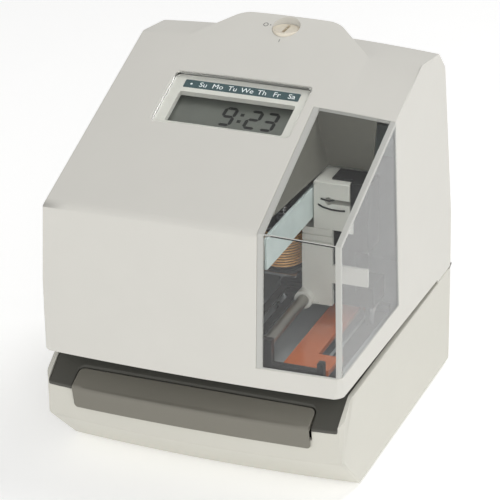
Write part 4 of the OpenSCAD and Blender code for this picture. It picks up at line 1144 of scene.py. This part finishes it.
@dataclass
class ClampMagnet:
    """Copper coil, bobbin, yoke and the plunger with its spring."""

    wire: float = 1.0 * MM
    turns: float = 11.5
    pitch: float = 1.45 * MM
    lead: float = 1.7 * MM
    start: float = math.radians(-120)
    sunk: float = 0.3 * MM
    edge: float = 0.2 * MM
    spring_wire: float = 0.8 * MM
    spring_radius: float = 3.8 * MM
    spring_turns: int = 5
    spring_keep: float = 0.575

    def build(self) -> None:
        """Winds the coil and the spring."""
        self.winding()
        self.spring()
        for node in ("magnet_bobbin", "magnet_yoke", "plunger"):
            soften(node, self.edge)

    def winding(self) -> None:
        """Winds the outer layer of wire over a cylinder that stands for the layers under it, painted dark brown as
        the shade between the turns.
        """
        low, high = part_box("magnet_winding")
        middle = (low + high) / 2
        radius = (high.x - low.x) / 2 - self.wire / 2
        mesh = bmesh.new()
        foot = Vector((middle.x, middle.y, middle.z - self.turns * self.pitch / 2))
        coil = Coil(foot, radius, self.wire)
        coil.wind(mesh, coil.start(mesh, self.start), self.turns, self.turns * self.pitch)
        Coil.close(mesh)
        core = radius - self.sunk
        under = bmesh.ops.create_cone(mesh, cap_ends=True, segments=64, radius1=core, radius2=core,
                                      depth=high.z - low.z - self.lead, matrix=Matrix.Translation(middle))["verts"]
        # The cylinder's faces take the painted shade between the turns
        for face in {f for v in under for f in v.link_faces}:
            face.material_index = 1
        rims = {e for v in under for e in v.link_edges if abs((e.verts[0].co - e.verts[1].co).z) < MERGE}
        bmesh.ops.bevel(mesh, geom=list(rims), offset=self.sunk, segments=2, profile=0.5, affect="EDGES", material=-1)
        add_piece("magnet_coil", mesh, Body.CHASSIS, Slot.COPPER, FINISHES[Slot.COPPER], COIL_GROOVE_SHADE,
                  stands_for=["magnet_winding"])

    def spring(self) -> None:
        """Winds the plunger's spring."""
        low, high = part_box("plunger_spring")
        middle = (low + high) / 2
        mesh = bmesh.new()
        add_spring(mesh, Vector((middle.x, middle.y, low.z)), self.spring_radius, self.spring_wire,
                   self.spring_turns, high.z - low.z)
        spring = add_piece("clamp_spring", mesh, Body.CHASSIS, Slot.STEEL, stands_for=["plunger_spring"])
        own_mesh(spring)


@dataclass
class PrintBar:
    """Push bar across the front, with its pins and springs."""

    edge: float = 1.6 * MM
    small_edge: float = 0.4 * MM
    shown_depth: float = 14 * MM
    shown_face: float = 0.2
    upper_turn: float = 3.0 * MM
    lower_turn: float = 2.0 * MM
    spring_wire: float = 0.8 * MM
    spring_radius: float = 3.2 * MM
    spring_turns: int = 6
    spring_keep: float = 0.87

    def build(self) -> None:
        """Rounds the bar and winds its springs."""
        mesh = node_mesh("print_bar")
        low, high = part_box("print_bar")
        front = low.y + self.shown_depth
        ends = [v for v in mesh.verts if abs(v.co.x) > high.x - TOUCH]
        foot = min(v.co.z for v in ends) + TOUCH
        uprights = {e for v in ends for e in v.link_edges if is_upright(e)}
        round_corners(mesh, list(uprights), self.upper_turn)
        low_ends = [e for e in mesh.edges if all(abs(v.co.x) > high.x - TOUCH and v.co.z < foot for v in e.verts)]
        round_corners(mesh, low_ends, self.lower_turn)

        def radius_of(middle: Vector, upper: Vector, lower: Vector) -> float:
            """Rounds the shown front more than the arms behind it."""
            return self.edge if middle.y < front and lower.y < -self.shown_face else self.small_edge

        weigh_edges(mesh, self.edge, radius_of)
        bar = add_piece("push_bar", mesh, Body.PRINT_BAR, Slot.BAR, stands_for=["print_bar"])
        round_edges(bar, self.edge)
        self.springs()

    def springs(self) -> None:
        """Winds the two return springs."""
        low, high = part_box("bar_springs")
        side = (high.x - low.x) / 2 - self.spring_radius - self.spring_wire / 2
        pair = bmesh.new()
        for x in (-side, side):
            add_spring(pair, Vector((x, (low.y + high.y) / 2, low.z)), self.spring_radius, self.spring_wire,
                       self.spring_turns, high.z - low.z)
        springs = add_piece("bar_return_springs", pair, Body.CHASSIS, Slot.STEEL, stands_for=["bar_springs"])
        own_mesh(springs)


@dataclass
class BaseShell:
    """Lower shell with its feet, and the dark table of the paper slot."""

    edge: float = 1.2 * MM
    lip: float = 0.8 * MM
    lip_height: float = 50 * MM
    corner: float = 14 * MM
    side_reach: float = 6 * MM
    front_reach: float = 8 * MM
    small_edge: float = 0.3 * MM
    foot_edge: float = 0.25 * MM
    plate_edge: float = 0.6 * MM
    notch_turn: float = 3.6 * MM
    notch_bend: float = -1.5

    def build(self) -> None:
        """Rounds the shell and the table."""
        shell = node_mesh("base_housing")
        low, high = CAD_BOX
        centre = Vector((0, 0, (low.z + high.z) / 4))

        def radius_of(middle: Vector, upper: Vector, lower: Vector) -> float:
            """Rounds the outer edges most.

            Args:
                middle: middle of the edge.
                upper, lower: normals of its faces.

            Returns:
                The rounding.
            """
            corner = abs(middle.x) > high.x - self.corner and middle.y < low.y + self.corner
            upright = middle.y > 0 and max(abs(upper.z), abs(lower.z)) < ASIDE
            if (upper + lower).dot(middle - centre) < 0 or corner or upright:
                return 0.0
            outside = max(abs(middle.x) - high.x, middle.y - high.y) > -self.side_reach
            if not outside and middle.y >= low.y + self.front_reach:
                return self.small_edge
            return self.lip if middle.z > self.lip_height else self.edge

        weigh_edges(shell, self.edge, radius_of)
        base = add_piece("base_shell", shell, Body.CHASSIS, Slot.BASE, stands_for=["base_housing"])
        round_edges(base, self.edge)
        plate = node_mesh("throat_plate")
        notch = [e for e in plate.edges if e.calc_face_angle_signed(0) < self.notch_bend and is_upright(e)]
        round_corners(plate, notch, self.notch_turn)
        weigh_edges(plate, self.plate_edge, lambda middle, upper, lower: self.plate_edge)
        table = add_piece("paper_table", plate, Body.CHASSIS, Slot.THROAT, stands_for=["throat_plate"])
        round_edges(table, self.plate_edge, 3)
        for node in ("rubber_feet", "base_screws"):
            soften(node, self.foot_edge)


@dataclass
class KeyLock:
    """Key lock on the tab, with its printed marks."""

    edge: float = 0.25 * MM
    ink: float = 0.04 * MM
    ring_out: float = 1.4 * MM
    ring_in: float = 1.0 * MM
    dot: float = 0.35 * MM
    aside: float = 11.2 * MM
    dot_aside: float = 8.6 * MM
    tick_aside: float = 10.2 * MM
    above: float = 40 * MM

    def build(self) -> None:
        """Softens the lock's edges and prints the marks beside it."""
        for node in ("lock_barrel", "lock_plug", "lock_nut", "lock_cam", "lock_catch"):
            soften(node, self.edge)
        cover = node_tree("cover_shell")
        mesh = bmesh.new()
        ring = self.spot(cover, -self.aside, 0)
        rim = bmesh.ops.create_circle(mesh, cap_ends=True, segments=32, radius=self.ring_out, matrix=ring)["verts"]
        hole = rim[0].link_faces[0]
        band = bmesh.ops.inset_individual(mesh, faces=[hole], thickness=self.ring_out - self.ring_in)["faces"]
        bmesh.ops.delete(mesh, geom=[hole], context="FACES_ONLY")
        raise_flat(mesh, band, ring.col[2].to_3d() * self.ink)
        dot = self.spot(cover, -self.dot_aside, 0)
        point = bmesh.ops.create_circle(mesh, cap_ends=True, segments=16, radius=self.dot, matrix=dot)["verts"]
        raise_flat(mesh, list(point[0].link_faces), dot.col[2].to_3d() * self.ink)
        tick = self.spot(cover, 0, -self.tick_aside)
        line = bmesh.ops.create_grid(mesh, x_segments=1, y_segments=1, size=1,
                                     matrix=tick @ Matrix.Diagonal((self.dot / 2, 3 * self.dot, 1, 1)))["verts"]
        raise_flat(mesh, list(line[0].link_faces), tick.col[2].to_3d() * self.ink)
        add_piece("lock_marks", mesh, Body.COVER, Slot.COVER, GREY_INK, smooth=False)

    def spot(self, cover: BVHTree, across: float, along: float) -> Matrix:
        """Finds a place on the tab beside the lock.

        Args:
            cover: the cover.
            across, along: distance from the lock's axis, along X and Y.

        Returns:
            The frame of the place, whose Z leaves the tab.
        """
        middle = frame_middle("lock_barrel") + Vector((across, along, self.above))
        hit, normal, _, _ = cover.ray_cast(middle, -Z_AXIS)
        up = normal.cross(X_AXIS).normalized()
        return Matrix.Translation(hit) @ Matrix((up.cross(normal), up, normal)).transposed().to_4x4()


@dataclass
class PrintCarriage:
    """White column and block that carry the print head along the rod and rail."""

    block_edge: float = 0.8 * MM
    jaw_reach: float = 31 * MM
    metal_edge: float = 0.25 * MM
    lead: float = 0.45 * MM
    white_curve_radius: float = 0.35 * MM

    LEAD_LINES = (((44.2, 0, 135.6), (46.5, 0, 135.2), (48.6, 0.3, 134.9), (50.5, 2.5, 134.7)),
                  ((42.7, 0, 132.4), (45.2, 0, 131.2), (49.6, 0, 130.4), (53.5, 0, 130.3), (56.9, 0, 130.6)))
    # Points of the thin white curved wire under the column's foot
    WHITE_CURVE_LINE = ((38.0, 0, 80.2), (38.3, 0, 79.1), (39.2, 0, 78.5), (41.0, 0, 78.4), (42.9, 0, 79.0))

    def build(self) -> None:
        """Darkens the jaws that hold the belt, softens the mouldings and lays the wires."""
        column = frame["nodes"]["print_column"].data
        column.materials.append(material_of(FINISHES[Slot.BLACK]))
        for face in column.polygons:
            if min(column.vertices[i].co.x for i in face.vertices) < self.jaw_reach:
                face.material_index = 1
        dress(frame["nodes"]["guide_rod"], ROD_STEEL)
        soften("upper_block", self.block_edge, 3)
        for node in ("print_head", "needle_nose", "guide_rail", "guide_rod", "front_bracket"):
            soften(node, self.metal_edge)
        self.wires()

    def wires(self) -> None:
        """Lays the head's two leads over the block's face and a thin white curved wire under the column's foot, along
        the bright line at the black bracket's edge.
        """
        front = Vector((0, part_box("upper_block")[0].y - self.lead, 0))
        for name, slot, radius, lines in (("head_leads", Slot.BLACK, self.lead, self.LEAD_LINES),
                                          ("white_curve", Slot.WHITE, self.white_curve_radius, (self.WHITE_CURVE_LINE,))):
            wires = bmesh.new()
            for line in lines:
                add_wire(wires, [front + Vector(point) * MM for point in line], radius)
            add_piece(name, wires, Body.CARRIAGE, slot)


@dataclass
class RibbonCassette:
    """Cassette with its bright lid, ribbon and knob."""

    lid_edge: float = 0.7 * MM
    case_edge: float = 0.4 * MM
    knob_edge: float = 0.2 * MM

    def build(self) -> None:
        """Softens the cassette's edges."""
        soften("cassette_lid", self.lid_edge, 3)
        soften("ribbon_cassette", self.case_edge)
        soften("ribbon_knob", self.knob_edge)


@dataclass
class Machinery:
    """Sheet chassis, drive, boards and power supply inside the cover."""

    sheet_edge: float = 0.15 * MM
    part_edge: float = 0.3 * MM

    def build(self) -> None:
        """Softens the edges of the hidden pieces."""
        for node in ("chassis_base", "rear_frame", "left_plate", "middle_plate", "upper_guide", "platen_support",
                     "belt_brackets", "display_shelf"):
            soften(node, self.sheet_edge)
        for node in ("transformer_core", "transformer_coil", "power_inlet", "drive_motor", "board_parts",
                     "backup_battery", "platen", "card_sensor", "bar_sensor", "clamp_pad"):
            soften(node, self.part_edge)


def direction(azimuth: float, elevation: float) -> Vector:
    """Finds the way from the object to a place round it.

    Args:
        azimuth: angle from the front to the right.
        elevation: angle above the horizon.

    Returns:
        The way, of length 1.
    """
    flat = math.cos(elevation)
    return Vector((math.sin(azimuth) * flat, -math.cos(azimuth) * flat, math.sin(elevation)))


@dataclass
class Studio:
    """Pale floor, soft light and the camera at the photograph's angle."""

    azimuth: float = math.radians(22.07)
    elevation: float = math.radians(25.16)
    roll: float = math.radians(-0.96)
    distance: float = 1361.87 * MM
    target: Vector = Vector((1.13, -7, 96.34)) * MM
    lens: float = 191.48
    sensor: float = 36.0
    floor_size: float = 4.0
    floor_light: float = 0.3
    wall_light: float = 0.6
    wall_top: float = 0.3
    ceiling_light: float = 0.32
    ceiling_edge: float = 0.9

    LAMPS = (("key", -38, 22, 1.5, 1.3, 3.0), ("front", 24, 27, 1.8, 0.6, 5.0), ("fill", 80, 18, 1.5, 1.3, 4.0),
             ("top", 140, 65, 1.4, 0.5, 6.0))

    def build(self) -> None:
        """Sets up the floor, lights, world and camera."""
        self.floor()
        self.lights()
        self.world()
        self.camera()
        bpy.context.scene.view_settings.view_transform = "Standard"

    def floor(self) -> None:
        """Lays the pale floor."""
        mesh = bmesh.new()
        bmesh.ops.create_grid(mesh, x_segments=1, y_segments=1, size=self.floor_size)
        floor = mesh_object("floor", mesh)
        graph = Graph("floor paper")
        graph.tint(srgb(246, 246, 245), 0.01, graph.noise(60 * MM, 3))
        graph.gloss(0.8, 0.9, graph.noise(5 * MM, 2))
        graph.put(Emission_Color=(1, 1, 1, 1), Emission_Strength=self.floor_light)
        floor.data.materials.append(graph.material)

    def lights(self) -> None:
        """Hangs a low key light at the front left, one by the camera, a fill at the right and a weak top light."""
        for name, azimuth, elevation, reach, size, power in self.LAMPS:
            data = bpy.data.lights.new(name, "AREA")
            data.shape, data.size, data.energy = "SQUARE", size, power
            lamp = bpy.data.objects.new(name, data)
            back = direction(math.radians(azimuth), math.radians(elevation))
            lamp.location = self.target + back * reach
            lamp.rotation_euler = back.to_track_quat("Z", "Y").to_euler()
            show(lamp)

    def world(self) -> None:
        """Fills the room with light that fades towards the ceiling."""
        world = bpy.data.worlds.new("studio")
        world.use_nodes = True
        tree = world.node_tree
        background = tree.nodes["Background"]
        background.inputs["Color"].default_value = (1, 1, 1, 1)
        way = tree.nodes.new("ShaderNodeTexCoord")
        height = tree.nodes.new("ShaderNodeSeparateXYZ")
        fade = tree.nodes.new("ShaderNodeMapRange")
        for name, value in (("From Min", self.wall_top), ("From Max", self.ceiling_edge),
                            ("To Min", self.wall_light), ("To Max", self.ceiling_light)):
            fade.inputs[name].default_value = value
        tree.links.new(way.outputs["Generated"], height.inputs["Vector"])
        tree.links.new(height.outputs["Z"], fade.inputs["Value"])
        tree.links.new(fade.outputs["Result"], background.inputs["Strength"])
        bpy.context.scene.world = world

    def camera(self) -> None:
        """Sets the camera at the photograph's place."""
        back = direction(self.azimuth, self.elevation)
        right = (-back).cross(Z_AXIS).normalized()
        up = right.cross(-back)
        across = right * math.cos(self.roll) + up * math.sin(self.roll)
        above = up * math.cos(self.roll) - right * math.sin(self.roll)
        data = bpy.data.cameras.new("camera")
        data.lens, data.sensor_width = self.lens, self.sensor
        camera = bpy.data.objects.new("camera", data)
        turn = Matrix((across, above, back)).transposed().to_4x4()
        camera.matrix_world = Matrix.Translation(self.target + back * self.distance) @ turn
        show(camera)
        bpy.context.scene.camera = camera


def dress_nodes() -> None:
    """Gives every CAD node the finish of its slot."""
    for part in frame["record"]["subparts"]:
        dress(frame["nodes"][part["node"]], FINISHES[Slot(part["material_slot"])])


def main() -> None:
    """Builds the time clock's looks in order."""
    logging.basicConfig(level=logging.INFO, format="%(message)s")
    dress_nodes()
    for assembly in (Studio(), CoverShell(), Display(), KeyLock(), BaseShell(), PrintBar(), PrintCarriage(),
                     ClampMagnet(), RibbonCassette(), Machinery()):
        assembly.build()
        LOG.info("built %s", type(assembly).__name__)
    bpy.context.view_layer.update()


if __name__ == "__main__":
    main()
